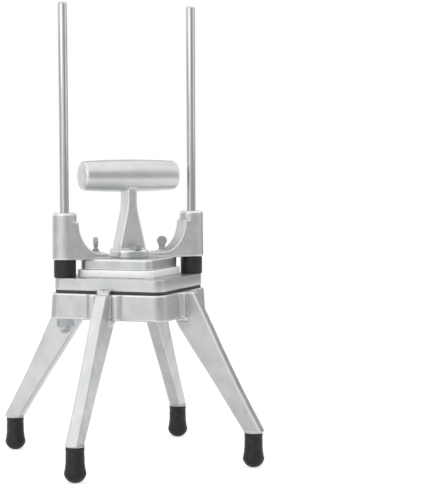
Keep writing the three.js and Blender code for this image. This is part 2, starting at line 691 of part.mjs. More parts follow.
function handleGeometry() {
  const rings = [flangeRing(0, plateTop)];
  for (let step = 0; step <= edgeSteps; step += 1) {
    const angle = step / edgeSteps * Math.PI / 2;
    const inset = flange.round * (1 - Math.cos(angle));
    rings.push(flangeRing(inset, flangeTop - flange.round * (1 - Math.sin(angle))));
  }
  const holes = [-1, 1].map((sign) => (
    bar(handleBolt.radius + fit, plateTop - cutOverrun, flangeTop + cutOverrun, -sign * handleBolt.x,
      sign * handleBolt.y)));
  const spotRadius = handleBolt.acrossFlats / Math.sqrt(3) + fit;
  const spotFaces = [-1, 1].map((sign) => (
    bar(spotRadius, flangeTop, flangeTop + handleBolt.headHeight + fit, -sign * handleBolt.x,
      sign * handleBolt.y)));
  return shown(cut(joined([skinned(rings), neckGeometry(), gripGeometry()]), [...holes, ...spotFaces]));
}

function handleBoltGeometry(x, y) {
  const head = hexHead(handleBolt.acrossFlats, flangeTop, handleBolt.headHeight, handleBolt.edge, x, y);
  const shank = bar(handleBolt.radius, plateBottom + handleBolt.threadEnd,
    flangeTop + handleBolt.headHeight / 2, x, y);
  return shown(head.add(solid(shank)));
}

// Thumb screw: a flat round head on a short neck, over a collar that bears on the arm
function thumbScrewGeometry() {
  const collarTop = padTop + thumb.collarHeight;
  const headCentre = collarTop + thumb.neckHeight + thumb.headHeight / 2;
  const face = new THREE.Shape();
  const halfNeck = thumb.neckWidth / 2;
  const halfHead = thumb.headWidth / 2;
  face.moveTo(-halfNeck, collarTop - thumb.edge);
  face.lineTo(halfNeck, collarTop - thumb.edge);
  face.bezierCurveTo(halfNeck, collarTop + thumb.neckHeight, halfHead, headCentre - thumb.headHeight / 3,
    halfHead, headCentre);
  face.absellipse(0, headCentre, halfHead, thumb.headHeight / 2, 0, Math.PI, false);
  face.bezierCurveTo(-halfHead, headCentre - thumb.headHeight / 3, -halfNeck, collarTop + thumb.neckHeight,
    -halfNeck, collarTop - thumb.edge);
  const head = new THREE.ExtrudeGeometry(face, {
    depth: thumb.headThickness - 2 * thumb.edge, bevelEnabled: true, bevelThickness: thumb.edge,
    bevelSize: thumb.edge, bevelOffset: -thumb.edge, bevelSegments: 1, curveSegments: 6,
  });
  head.rotateX(Math.PI / 2);
  head.translate(0, thumb.headThickness / 2 - thumb.edge, 0);
  const collar = bar(thumb.collarRadius, padTop, collarTop);
  const shank = bar(thumb.radius, blockBottom + thumb.threadEnd, padTop + thumb.collarHeight / 2);
  return shown(joined([head, collar, shank]));
}

place('pusher_head', pusherHeadGeometry(), paint.castAluminium);
place('pusher_block', blockGeometry(), paint.whitePlastic, diagonal);
place('t_handle', handleGeometry(), paint.castAluminium);
place('handle_bolt_front', handleBoltGeometry(handleBolt.x, -handleBolt.y), paint.brightSteel);
place('handle_bolt_rear', handleBoltGeometry(-handleBolt.x, handleBolt.y), paint.brightSteel);
ends.forEach(({ name, sign }) => {
  place(`sleeve_bush_${name}`, bushGeometry(), paint.palePlastic).position.x = sign * rodOffset;
  const screw = place(`thumb_screw_${name}`, thumbScrewGeometry(), paint.castAluminium, thumbTurn[name]);
  screw.position.x = sign * thumb.x;
});

export default cutter;
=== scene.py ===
# %% [markdown]
# # A push-down french fry cutter
# A potato stands on a grid of blades, and both hands push the T-handle down. A toothed block
# presses the potato through the grid, and the cut sticks fall between the legs. The solids and
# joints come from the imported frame. This lesson models each visible piece again with finer
# edges and gives it a finish made of nodes. The frame comes first, as sizes are read from it.

# %% Load the frame
from math import cos, pi, radians, sin, sqrt

import bmesh
import bpy
from mathutils import Matrix, Vector


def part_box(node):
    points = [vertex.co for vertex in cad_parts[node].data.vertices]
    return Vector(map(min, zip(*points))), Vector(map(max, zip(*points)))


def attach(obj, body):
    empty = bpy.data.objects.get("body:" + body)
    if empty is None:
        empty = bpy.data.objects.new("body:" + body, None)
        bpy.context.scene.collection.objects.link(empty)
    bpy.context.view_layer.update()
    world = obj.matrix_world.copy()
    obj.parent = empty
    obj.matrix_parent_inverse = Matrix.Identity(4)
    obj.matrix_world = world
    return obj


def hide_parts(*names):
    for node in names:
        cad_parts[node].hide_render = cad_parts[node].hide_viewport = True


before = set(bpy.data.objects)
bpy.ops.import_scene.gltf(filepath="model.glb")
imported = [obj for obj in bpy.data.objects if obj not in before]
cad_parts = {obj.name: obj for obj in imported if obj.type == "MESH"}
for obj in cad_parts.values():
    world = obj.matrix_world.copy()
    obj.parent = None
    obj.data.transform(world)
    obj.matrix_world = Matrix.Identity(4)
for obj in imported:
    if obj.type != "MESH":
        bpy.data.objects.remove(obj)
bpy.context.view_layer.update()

# %% [markdown]
# ## Measures
# Blender's unit is the metre, but workshop drawings are in millimetres, so lengths stay in
# millimetres until an operator needs them. The box of a CAD node is the best ruler: pieces
# that lie against each other then share a level.

# %% Millimetres, and the box of a node
MM = 0.001
DIAGONAL = pi / 4


def metres(*lengths):
    """Millimetres as the tuple in metres that an operator takes."""
    return tuple(length * MM for length in lengths)


def box_mm(node):
    """The lowest and the highest corner of a CAD node, in millimetres."""
    low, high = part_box(node)
    return low / MM, high / MM


rod_low, rod_high = box_mm("guide_rod_right")
rod_x = (rod_low.x + rod_high.x) / 2
rod_radius = (rod_high.x - rod_low.x) / 2
print(f"rods {rod_x:.2f} mm from the middle, radius {rod_radius:.3f} mm, top {rod_high.z:.1f} mm")

# %% [markdown]
# ## Camera
# The camera stands where a fit to the photograph put it: 22 degrees left of the front, a little
# above the handle and far away, so that the rods hardly lean. The object is in the left half of
# the frame. As on a view camera, a shift of the lens does that and keeps uprights upright.

# %% Place the camera
WIDTH, HEIGHT = 438, 485
TURN, RISE, ROLL = radians(-21.742), radians(4.780), radians(-0.397)
FOCAL_PIXELS, CENTRE_X, CENTRE_Y = 1497.47, 129.70, 294.40
scene = bpy.context.scene
optics = bpy.data.cameras.new("view_camera")
camera = bpy.data.objects.new("view_camera", optics)
scene.collection.objects.link(camera)
scene.camera = camera

right = Vector((cos(TURN), sin(TURN), 0))
back = Vector((sin(TURN) * cos(RISE), -cos(TURN) * cos(RISE), sin(RISE)))
up = back.cross(right)
camera.rotation_mode = "QUATERNION"
axes = right * cos(ROLL) + up * sin(ROLL), up * cos(ROLL) - right * sin(ROLL), back
camera.matrix_world = Matrix([[axis[row] for axis in axes] for row in range(3)]).to_4x4()
camera.location = metres(-590.73, -1482.06, 309.88)
optics.sensor_width = 36
optics.lens = FOCAL_PIXELS * optics.sensor_width / HEIGHT
optics.shift_x = (WIDTH / 2 - CENTRE_X) / HEIGHT
optics.shift_y = (CENTRE_Y - HEIGHT / 2) / HEIGHT
optics.clip_start, optics.clip_end = 0.05, 50
scene.view_settings.view_transform = "Standard"
print(f"lens {optics.lens:.1f} mm, shift {optics.shift_x:.3f}, {optics.shift_y:.3f}")

# %% [markdown]
# ## Tools for selecting
# An operator acts on all that is selected, so each step first selects nothing and then picks
# what it needs. Inside a mesh, parts are picked by where they are, as a hand would by eye.

# %% Select, enter and leave a mesh
def clear():
    bpy.ops.object.select_all(action="DESELECT")


def only(piece):
    clear()
    piece.select_set(True)
    bpy.context.view_layer.objects.active = piece


def enter(piece):
    only(piece)
    bpy.ops.object.mode_set(mode="EDIT")
    bpy.ops.mesh.select_all(action="SELECT")


def leave():
    bpy.ops.object.mode_set(mode="OBJECT")


def pick(piece, kind, test):
    """Select each VERT, EDGE or FACE whose points, in millimetres, pass the test."""
    bpy.ops.mesh.select_all(action="DESELECT")
    bpy.ops.mesh.select_mode(type=kind)
    mesh = bmesh.from_edit_mesh(piece.data)
    count = 0
    for part in getattr(mesh, kind.lower() + "s"):
        points = [part] if kind == "VERT" else part.verts
        chosen = test([point.co / MM for point in points])
        part.select_set(chosen)
        count += chosen
    mesh.select_flush_mode()
    bmesh.update_edit_mesh(piece.data, destructive=False)
    return count


print("selecting starts from nothing selected")

# %% [markdown]
# ## Three ways to start a piece
# Most pieces begin as one of three forms. A slab is a cube whose upright edges are beveled. A
# turned form is a ring that is extruded and scaled again and again, as on a lathe. A swept form
# is a rectangle that is extruded from station to station, which suits legs and arms.

# %% Slab, turned form and swept form
NEAR = 0.01


def named(piece, name):
    piece.name = piece.data.name = name
    return piece


def newest(name):
    """The piece that an operator has just made, with its place and turn applied."""
    bpy.ops.object.transform_apply()
    return named(bpy.context.object, name)


def upright(points):
    """A test for edges that rise."""
    return abs(points[0].z - points[1].z) > NEAR


def slab(name, half_x, half_y, corner, bottom, top, spread=0, steps=8):
    """A block with round upright corners. Its lower face is wider by spread on each side."""
    clear()
    middle = metres(0, 0, (bottom + top) / 2)
    bpy.ops.mesh.primitive_cube_add(size=1, location=middle)
    piece = newest(name)
    enter(piece)
    bpy.ops.transform.resize(value=metres(2 * half_x, 2 * half_y, top - bottom),
                             center_override=middle)
    if spread:
        pick(piece, "FACE", lambda points: all(point.z < bottom + NEAR for point in points))
        bpy.ops.transform.resize(value=(1 + spread / half_x, 1 + spread / half_y, 1),
                                 center_override=metres(0, 0, bottom))
    if corner:
        pick(piece, "EDGE", upright)
        bpy.ops.mesh.bevel(offset=corner * MM, segments=steps, affect="EDGES")
    leave()
    return piece


def turned(name, profile, sides=64):
    """A ring that is extruded and scaled through pairs of radius and height. A profile is
    closed where it starts or ends on the axis, and welded where it comes back to its start."""
    clear()
    start = 1 if profile[0][0] == 0 else 0
    radius, height = profile[start]
    bpy.ops.mesh.primitive_circle_add(
        vertices=sides, radius=radius * MM, location=metres(0, 0, height),
        fill_type="NGON" if start else "NOTHING")
    piece = newest(name)
    enter(piece)
    bpy.ops.mesh.select_mode(type="EDGE")
    if start:
        bpy.ops.mesh.region_to_loop()
    for next_radius, next_height in profile[start + 1:]:
        bpy.ops.mesh.extrude_edges_move(
            TRANSFORM_OT_translate={"value": metres(0, 0, next_height - height)})
        if next_radius == 0:
            bpy.ops.mesh.merge(type="CENTER")
            break
        bpy.ops.transform.resize(value=(next_radius / radius, next_radius / radius, 1),
                                 center_override=metres(0, 0, next_height))
        radius, height = next_radius, next_height
    bpy.ops.mesh.select_all(action="SELECT")
    bpy.ops.mesh.remove_doubles(threshold=NEAR * MM)
    bpy.ops.mesh.normals_make_consistent(inside=False)
    leave()
    return piece


def swept(name, stations, sideways=False):
    """A rectangle that is extruded through stations of middle and size. It lies flat, or faces
    along X if sideways, and its size across itself is zero."""
    clear()
    middle, size = stations[0]
    bpy.ops.mesh.primitive_plane_add(size=1, rotation=(0, pi / 2 if sideways else 0, 0))
    piece = newest(name)
    enter(piece)
    bpy.ops.transform.resize(value=[side * MM if side else 1 for side in size],
                             center_override=(0, 0, 0))
    bpy.ops.transform.translate(value=metres(*middle))
    bpy.ops.mesh.select_mode(type="FACE")
    for next_middle, next_size in stations[1:]:
        step = [new - old for new, old in zip(next_middle, middle)]
        bpy.ops.mesh.extrude_region_move(TRANSFORM_OT_translate={"value": metres(*step)})
        growth = [new / old if old else 1 for new, old in zip(next_size, size)]
        bpy.ops.transform.resize(value=growth, center_override=metres(*next_middle))
        middle, size = next_middle, next_size
    bpy.ops.mesh.select_all(action="SELECT")
    bpy.ops.mesh.normals_make_consistent(inside=False)
    leave()
    return piece


def pin(name, radius, bottom, top, sides=64):
    """A plain cylinder."""
    return turned(name, [(0, bottom), (radius, bottom), (radius, top), (0, top)], sides)


print("slab, turned and swept are ready")

# %% [markdown]
# ## Shaping and joining
# Sharp forms are cut with a boolean modifier. A casting, though, has a fillet wherever two
# walls meet. A voxel remesh melts overlapping blocks into one skin, and smoothing over the
# seams draws the fillets out, so that the pieces look poured and not assembled.

# %% Round, cut, melt and soften
EDGE_ANGLE = radians(50)


def round_off(piece, radius, test, steps=4):
    """Bevel the edges that pass the test."""
    enter(piece)
    pick(piece, "EDGE", test)
    bpy.ops.mesh.bevel(offset=radius * MM, segments=steps, affect="EDGES", clamp_overlap=True)
    leave()


def at_level(*heights):
    """A test for edges that lie level at one of the heights."""
    return lambda points: any(all(abs(point.z - height) < NEAR for point in points)
                              for height in heights)


def shift(piece, x=0, y=0, z=0, turn=0, axis="Z"):
    """Move and turn a whole piece and apply it, so that its object stays at the origin."""
    only(piece)
    piece.location = metres(x, y, z)
    piece.rotation_euler["XYZ".index(axis)] = turn
    bpy.ops.object.transform_apply()
    return piece


def swing(piece, out, turn, y=0):
    """Move a piece outwards, then turn it round the middle of the machine."""
    return shift(shift(piece, x=out, y=y), turn=turn)


def modify(piece, kind, **settings):
    """Add a modifier and apply it."""
    only(piece)
    modifier = piece.modifiers.new(kind.lower(), kind)
    for name, value in settings.items():
        setattr(modifier, name, value)
    bpy.ops.object.modifier_apply(modifier=modifier.name)


def discard(*pieces):
    for piece in pieces:
        bpy.data.objects.remove(piece)


def boolean(piece, tool, operation="DIFFERENCE"):
    modify(piece, "BOOLEAN", operation=operation, object=tool, solver="EXACT")
    discard(tool)
    return piece


def ease_edges(piece, radius, steps):
    """Bevel every edge that turns by more than EDGE_ANGLE."""
    modify(piece, "BEVEL", width=radius * MM, segments=steps, limit_method="ANGLE",
           angle_limit=EDGE_ANGLE)


def gather(name, pieces):
    """Join pieces into one object, their shells still overlapping."""
    only(pieces[0])
    for piece in pieces[1:]:
        piece.select_set(True)
    bpy.ops.object.join()
    return newest(name)


def melt(piece, voxel, passes=2):
    """One skin over overlapping shells, with its sharp edges eased."""
    modify(piece, "REMESH", mode="VOXEL", voxel_size=voxel * MM)
    modify(piece, "SMOOTH", factor=0.5, iterations=passes)
    return piece


def soften(piece, test, passes):
    """Smooth only the points that pass the test, which turns a seam into a fillet."""
    enter(piece)
    count = pick(piece, "VERT", lambda points: test(points[0]))
    bpy.ops.mesh.vertices_smooth(factor=0.5, repeat=passes)
    leave()
    return count


def copy_of(piece, name):
    """A second piece with a mesh of its own."""
    twin = piece.copy()
    twin.data = piece.data.copy()
    scene.collection.objects.link(twin)
    return named(twin, name)


def quarter(centre_radius, centre_height, radius, start, end, steps=4):
    """Pairs of radius and height on an arc. Start and end are in quarter turns, from outwards
    at 0 to upwards at 1."""
    angles = [(start + (end - start) * step / steps) * pi / 2 for step in range(steps + 1)]
    return [(centre_radius + radius * cos(angle), centre_height + radius * sin(angle))
            for angle in angles]


def tube(name, node, bore, edge):
    """A turned tube as wide and high as a CAD node, with rounded outer edges."""
    low, high = box_mm(node)
    middle = (high.x - low.x) / 2 - edge
    return turned(name, [
        (bore, low.z), *quarter(middle, low.z + edge, edge, -1, 0),
        *quarter(middle, high.z - edge, edge, 0, 1), (bore, high.z), (bore, low.z),
    ])


print("melted castings get their fillets from smoothing")

# %% [markdown]
# ## A node at a time
# Every finish is a small network of nodes. One function adds a node, sets it and links what
# feeds it. Colours are hex values from a colour picker, turned to linear light in one place.

# %% Colour and node helpers
def linear(hex_colour):
    """An sRGB hex colour as linear red, green, blue and alpha."""
    channels = [int(hex_colour[i:i + 2], 16) / 255 for i in (1, 3, 5)]
    return tuple(channel / 12.92 if channel <= 0.04045 else ((channel + 0.055) / 1.055) ** 2.4
                 for channel in channels) + (1.0,)


def add(tree, kind, sockets=None, links=None, **settings):
    """One node with its properties, socket values and links. A link comes from an output, or
    from a node's first output."""
    made = tree.nodes.new("ShaderNode" + kind)
    for name, value in settings.items():
        setattr(made, name, value)
    for socket, value in (sockets or {}).items():
        made.inputs[socket].default_value = value
    for socket, source in (links or {}).items():
        output = source.outputs[0] if hasattr(source, "outputs") else source
        tree.links.new(output, made.inputs[socket])
    return made


def new_material(name):
    """An empty material and its node tree."""
    material = bpy.data.materials.new(name)
    material.use_nodes = True
    material.node_tree.nodes.clear()
    return material, material.node_tree


def finish_with(tree, sockets, colour, sheen, relief):
    """The shader that a colour, a roughness and a relief feed, and the output."""
    surface = add(tree, "BsdfPrincipled", sockets,
                  {"Base Color": colour.outputs[2], "Roughness": sheen, "Normal": relief})
    add(tree, "OutputMaterial", links={"Surface": surface})


def per_metre(size_mm):
    """The scale of a noise whose features are that many millimetres across."""
    return 1 / (size_mm * MM)


def around(value, play):
    """Settings that map noise, which mostly lies from 0.3 to 0.7, to a band round a value."""
    return {"From Min": 0.3, "From Max": 0.7, "To Min": value - play, "To Max": value + play}


print("mid grey #bcbcbc is", round(linear("#bcbcbc")[0], 3), "in linear light")

# %% [markdown]
# ## Aluminium
# Cast faces come out of a tumbler with a satin skin: faint cloudy patches, a shallow unevenness
# from the mould, and a fine grain. Their edges are painted towards bright metal, partly as wear
# from the tumbler and from hands, and partly as a painted highlight where a rounded edge catches
# the light; edges that face down, where shade falls, are left out. Pointiness, which says how
# much a surface bends, finds them. Buffed or machined faces are smoother. A metal's colour is its
# reflection, so these light greys are the real thing's brightness, and its IOR stays at the
# default.

# %% Five aluminium finishes
def aluminium(name, light, dark, roughness, grain, unevenness, rim_wear_and_highlight):
    """Satin metal. Grain and unevenness are depths in millimetres, and the last argument says how
    far the rims are painted towards bright metal, partly wear and partly painted highlight."""
    material, tree = new_material(name)
    place = add(tree, "TexCoord").outputs["Object"]
    clouds = add(tree, "TexNoise", {"Scale": per_metre(16), "Detail": 4.0, "Roughness": 0.6},
                 {"Vector": place})
    patches = add(tree, "TexNoise", {"Scale": per_metre(4), "Detail": 3.0}, {"Vector": place})
    # Real grain is near 0.2 mm. It is drawn at 0.9 mm, so that it just shows at this distance.
    fine = add(tree, "TexNoise", {"Scale": per_metre(0.9), "Detail": 2.0}, {"Vector": place})
    tone = add(tree, "MapRange", {"From Min": 0.32, "From Max": 0.68}, {"Value": clouds})
    skin = add(tree, "Mix", {6: linear(dark), 7: linear(light)}, {0: tone}, data_type="RGBA")
    form = add(tree, "NewGeometry").outputs
    edge_wear_and_highlight = add(tree, "MapRange", {"From Min": 0.506, "From Max": 0.520, "To Max": rim_wear_and_highlight},
              {"Value": form["Pointiness"]})
    # Hands and cloths reach what faces up or outwards, and light falls there, so rims that face
    # down, where shade falls, get no painted highlight.
    facing = add(tree, "SeparateXYZ", links={0: form["Normal"]})
    reached_and_lit = add(tree, "MapRange", {"From Min": -0.4, "From Max": -0.05},
                  {"Value": facing.outputs["Z"]})
    wear_and_highlight = add(tree, "Math", links={0: edge_wear_and_highlight, 1: reached_and_lit}, operation="MULTIPLY")
    # The rims are mixed towards near-white metal: partly rubbing wear, partly a painted highlight.
    colour = add(tree, "Mix", {7: linear("#f6f7f7")}, {0: wear_and_highlight, 6: skin.outputs[2]},
                 data_type="RGBA")
    sheen = add(tree, "MapRange", around(roughness, 0.05), {"Value": patches})
    wavy = add(tree, "Bump", {"Strength": 0.5, "Distance": unevenness * MM}, {"Height": patches})
    grained = add(tree, "Bump", {"Strength": 0.5, "Distance": grain * MM},
                  {"Height": fine, "Normal": wavy})
    finish_with(tree, {"Metallic": 1.0}, colour, sheen, grained)
    return material


# Tumbled castings look soft and cloudy, with bright rims of wear and painted highlight.
cast_aluminium = aluminium("tumbled_cast_aluminium", "#d3d4d5", "#c3c5c6", 0.42, 0.015, 0.07, 0.8)
# Painted light: the legs get a paler copy of the casting colour, more uneven, with faint rims.
lit_leg_aluminium = aluminium("plain_cast_aluminium", "#dadbdc", "#c9cbcc", 0.42, 0.020, 0.09, 0.2)
# Buffing leaves the handle an even, closer sheen.
buffed_aluminium = aluminium("buffed_aluminium", "#dadbdc", "#ced0d1", 0.38, 0.006, 0.04, 0.8)
# Machined faces are flat, and reflect a little more clearly.
machined_aluminium = aluminium("machined_aluminium", "#d3d4d5", "#c9cbcc", 0.36, 0.003, 0.01, 0.0)
# Small die castings stay dull and darker.
die_cast_aluminium = aluminium(
    "dull_die_cast_aluminium", "#b0b2b3", "#a4a6a7", 0.46, 0.010, 0.03, 0.2)
print("aluminium from", cast_aluminium.name, "to", machined_aluminium.name)

# %% [markdown]
# ## Steel
# The guide rods are ground between wheels, which leaves fine rings round them, so the noise is
# squeezed along the rod. The blades are ground along their length. Screws, washers and cap
# nuts are zinc plated: a little darker and cloudier than bare steel.

# %% Rod, blade and plated steel
def ground_steel(name, colour_hex, roughness, squeeze, streak):
    """Steel with grinding marks. Squeeze stretches the noise into lines along an axis."""
    material, tree = new_material(name)
    place = add(tree, "TexCoord").outputs["Object"]
    pressed = add(tree, "Mapping", {"Scale": squeeze}, {"Vector": place})
    # Real marks are finer than 0.1 mm. They are drawn from 0.8 mm up, so that they just show.
    marks = add(tree, "TexNoise", {"Scale": per_metre(0.8), "Detail": 3.0, "Roughness": 0.7},
                {"Vector": pressed})
    clouds = add(tree, "TexNoise", {"Scale": per_metre(20), "Detail": 2.0}, {"Vector": place})
    darker = tuple(channel * 0.86 for channel in linear(colour_hex)[:3]) + (1.0,)
    colour = add(tree, "Mix", {6: darker, 7: linear(colour_hex)}, {0: clouds}, data_type="RGBA")
    sheen = add(tree, "MapRange", around(roughness, roughness * 0.15), {"Value": marks})
    ridges = add(tree, "Bump", {"Strength": 0.35, "Distance": streak * MM}, {"Height": marks})
    finish_with(tree, {"Metallic": 1.0}, colour, sheen, ridges)
    return material


# The rods reflect almost like mirrors, the blades streakily, and the zinc in soft clouds.
rod_steel = ground_steel("centreless_ground_steel", "#d0d2d2", 0.15, (0.08, 0.08, 0.4), 0.0001)
blade_steel = ground_steel("ground_stainless_steel", "#c9cccd", 0.26, (1, 1, 0.2), 0.006)
zinc_steel = ground_steel("bright_zinc_plate", "#c3c6c8", 0.32, (1, 1, 1), 0.008)
print("steels:", rod_steel.name, blade_steel.name, zinc_steel.name)

# %% [markdown]
# ## Rubber and plastics
# Rubber is dark but never black, with a broad soft sheen and a dusty unevenness. The block is
# white polyethylene, slightly warm and waxy, so some light goes into it and comes out again.
# The bushes in the sleeves are turned from pale acetal.

# %% Rubber, polyethylene and acetal
def soft_solid(name, light, dark, roughness, ior, grain, depth, under=0.0):
    """A mottled rubber or plastic. Its grain is that wide and deep, in millimetres, and under
    says how much light goes below the surface."""
    material, tree = new_material(name)
    place = add(tree, "TexCoord").outputs["Object"]
    clouds = add(tree, "TexNoise", {"Scale": per_metre(9), "Detail": 4.0}, {"Vector": place})
    fine = add(tree, "TexNoise", {"Scale": per_metre(grain), "Detail": 3.0}, {"Vector": place})
    tone = add(tree, "MapRange", {"From Min": 0.35, "From Max": 0.65}, {"Value": clouds})
    colour = add(tree, "Mix", {6: linear(dark), 7: linear(light)}, {0: tone}, data_type="RGBA")
    sheen = add(tree, "MapRange", around(roughness, 0.06), {"Value": fine})
    skin = add(tree, "Bump", {"Strength": 0.4, "Distance": depth * MM}, {"Height": fine})
    finish_with(tree, {"IOR": ior, "Subsurface Weight": under, "Subsurface Scale": 0.002},
                colour, sheen, skin)
    return material


# Moulded rubber is near black with a soft sheen, and sheet rubber greyer and duller. The block
# looks deep and milky, and the bushes like old ivory.
boot_rubber = soft_solid("moulded_black_rubber", "#1e1e1f", "#141415", 0.44, 1.47, 1.2, 0.02)
gasket_rubber = soft_solid("gasket_rubber", "#3c3c3d", "#2e2e2f", 0.60, 1.50, 1.0, 0.03)
block_plastic = soft_solid(
    "moulded_polyethylene", "#f8f8f6", "#f3f4f0", 0.40, 1.54, 1.6, 0.01, under=0.15)
bush_plastic = soft_solid("turned_acetal", "#d9d6cc", "#cbc8bd", 0.38, 1.48, 0.8, 0.02)
print("soft solids:", boot_rubber.name, gasket_rubber.name, block_plastic.name, bush_plastic.name)

# %% [markdown]
# ## Handing a piece over
# A whole piece gets its finish, and smooth shading up to an angle, so that flat faces stay flat
# and round ones look round. Then it is hung on the empty of its body, and its CAD nodes are hidden.

# %% Finish and hand over
def dress(piece, finish):
    piece.data.materials.clear()
    piece.data.materials.append(finish)


def hand_over(piece, body, nodes, finish, angle=40):
    only(piece)
    bpy.ops.object.shade_smooth_by_angle(angle=radians(angle))
    dress(piece, finish)
    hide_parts(*nodes)
    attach(piece, body)
    return len(piece.data.polygons)


print("a piece is handed over once it is whole")

# %% [markdown]
# ## Guide rods, bumpers and what holds the rods
# Each rod is a plain bar with a rounded top, that hands may brush against. The bumper round its
# foot is a thick rubber tube that stops the sleeve. Under the base sit a washer and a cap nut.
# All are turned forms, made once and copied to the other side.

# %% Turn the rods, bumpers and washers
SIDES = {"left": -1, "right": 1}
TIP_ROUND, ROD_CHAMFER, BORE_PLAY = 1.8, 0.6, 0.3

rod = turned("rod_right", [
    (0, rod_low.z), (rod_radius - ROD_CHAMFER, rod_low.z), (rod_radius, rod_low.z + ROD_CHAMFER),
    *quarter(rod_radius - TIP_ROUND, rod_high.z - TIP_ROUND, TIP_ROUND, 0, 0.9), (0, rod_high.z),
])
bumper = tube("bumper_rubber_right", "bumper_right", rod_radius + BORE_PLAY, 0.8)
washer = tube("washer_right", "rod_washer_right", rod_radius + BORE_PLAY, 0.3)
print("turned:", rod.name, bumper.name, washer.name)

# %% Turn and cut the cap nut
nut_low, nut_high = box_mm("rod_cap_nut_right")
NUT_FLATS, HEX_HEIGHT, NUT_TURN = 16, 7.8, radians(8.3)
DOME_RADIUS, DOME_STEPS, CHAMFER_SHARE = 7.5, 8, 0.7
hex_bottom, hex_middle = nut_high.z - HEX_HEIGHT, nut_high.z - HEX_HEIGHT / 2
dome = [(DOME_RADIUS * sin(step / DOME_STEPS * pi / 2),
         nut_low.z + (hex_bottom - nut_low.z) * (1 - cos(step / DOME_STEPS * pi / 2)))
        for step in range(DOME_STEPS + 1)]
nut_cap = turned("nut_cap", [*dome, (DOME_RADIUS, hex_middle), (0, hex_middle)])


def hexagon(name, flats, bottom, top, chamfer, turn):
    """A six-sided head whose corners are turned off at its top or its bottom."""
    corner = flats / sqrt(3)
    drop = (corner - flats / 2) * CHAMFER_SHARE
    clear()
    bpy.ops.mesh.primitive_cylinder_add(
        vertices=6, radius=corner * MM, depth=(top - bottom) * MM,
        location=metres(0, 0, (bottom + top) / 2))
    head = shift(newest(name), turn=turn)
    low_drop, high_drop = [drop if where == chamfer else 0 for where in ("bottom", "top")]
    crown = turned(name + "_crown", [
        (0, bottom), (flats / 2 if low_drop else corner, bottom), (corner, bottom + low_drop),
        (corner, top - high_drop), (flats / 2 if high_drop else corner, top), (0, top),
    ])
    return boolean(head, crown, "INTERSECT")


nut_hex = hexagon("nut_hex", NUT_FLATS, hex_bottom, nut_high.z, "bottom", NUT_TURN)
nut = named(boolean(nut_hex, nut_cap, "UNION"), "cap_nut_right")
print("cap nut with", len(nut.data.polygons), "faces")

# %% Set both sides in place
for side, sign in SIDES.items():
    for source, node, slot, finish in (
            (rod, "guide_rod_", "bright_steel", rod_steel),
            (bumper, "bumper_", "black_rubber", boot_rubber),
            (washer, "rod_washer_", "zinc_steel", zinc_steel),
            (nut, "rod_cap_nut_", "zinc_steel", zinc_steel)):
        piece = copy_of(source, source.name.replace("right", side) + "_piece")
        shift(piece, x=sign * rod_x)
        hand_over(piece, "base", [node + side], finish)
discard(rod, bumper, washer, nut)
print("rods stand at", [round(sign * rod_x, 2) for sign in SIDES.values()])

# %% [markdown]
# ## Base casting
# The base is an open box with a deck, a hole for the fries and two half-round pillars beside
# each leg. It is drawn square to the axes, because a voxel remesh keeps edges straight only
# along its own grid, and turned by 45 degrees at the end.

# %% Block out the base
BASE_BOTTOM, BASE_TOP = 154.5, 181.5
BASE_HALF, BASE_DRAFT, BASE_CORNER = 64.3, 1.4, 12
WALL, DECK = 7, 8
PILLAR_RADIUS, PILLAR_OFFSET, PILLAR_PROUD = 7, 12.5, 5
CHUTE_HALF, BOSS_RADIUS, EDGE_STRIP = 45, 9, 1.2
LEG_BACK, LEG_HALF_THICK = 58.3, 6.6

outside = slab("base_outside", BASE_HALF, BASE_HALF, BASE_CORNER, BASE_BOTTOM, BASE_TOP, BASE_DRAFT)
round_off(outside, 1.0, at_level(BASE_TOP), 3)
boolean(outside, slab("base_cavity", BASE_HALF - WALL, BASE_HALF - WALL, BASE_CORNER - WALL / 2,
                      BASE_BOTTOM - 2, BASE_TOP - DECK))
blocks = [outside]
for quarter_turn in (0, pi / 2, 2 * pi / 2, 3 * pi / 2):
    for sign in (-1, 1):
        pillar = turned("pillar", [
            (0, BASE_BOTTOM), (PILLAR_RADIUS + 0.6, BASE_BOTTOM), (PILLAR_RADIUS, BASE_TOP - 1),
            (PILLAR_RADIUS - 0.3, BASE_TOP - 0.3), (PILLAR_RADIUS - 1, BASE_TOP), (0, BASE_TOP),
        ], 48)
        blocks.append(swing(pillar, BASE_HALF + PILLAR_PROUD - PILLAR_RADIUS, quarter_turn,
                            sign * PILLAR_OFFSET))
    pad = slab("screw_pad", 6, 12, 0, BASE_BOTTOM, BASE_TOP - DECK / 2)
    # This seat ends inside the leg, so that the fillets run on into the leg's sides.
    seat = slab("leg_seat", 8, LEG_HALF_THICK - 0.3, 0, BASE_BOTTOM + 0.5, BASE_TOP - EDGE_STRIP)
    blocks += [swing(pad, LEG_BACK - 2.3, quarter_turn), swing(seat, LEG_BACK + 6, quarter_turn)]
for sign in SIDES.values():
    boss = pin("rod_boss", BOSS_RADIUS, BASE_BOTTOM, BASE_TOP - DECK / 2, 48)
    blocks.append(swing(boss, sign * rod_x, -DIAGONAL))
base = gather("base_shell", blocks)
print("blocks of the base:", len(blocks))

# %% Melt it, draw out the fillets and cut the openings
def on_a_wall(start, end):
    """A test for points on the outside of a wall, from start to end beside its middle."""
    def test(point):
        across, along = sorted((abs(point.x), abs(point.y)))
        return start < across < end and along > BASE_HALF - 3 and point.z < BASE_TOP - EDGE_STRIP
    return test


melt(base, voxel=0.9)
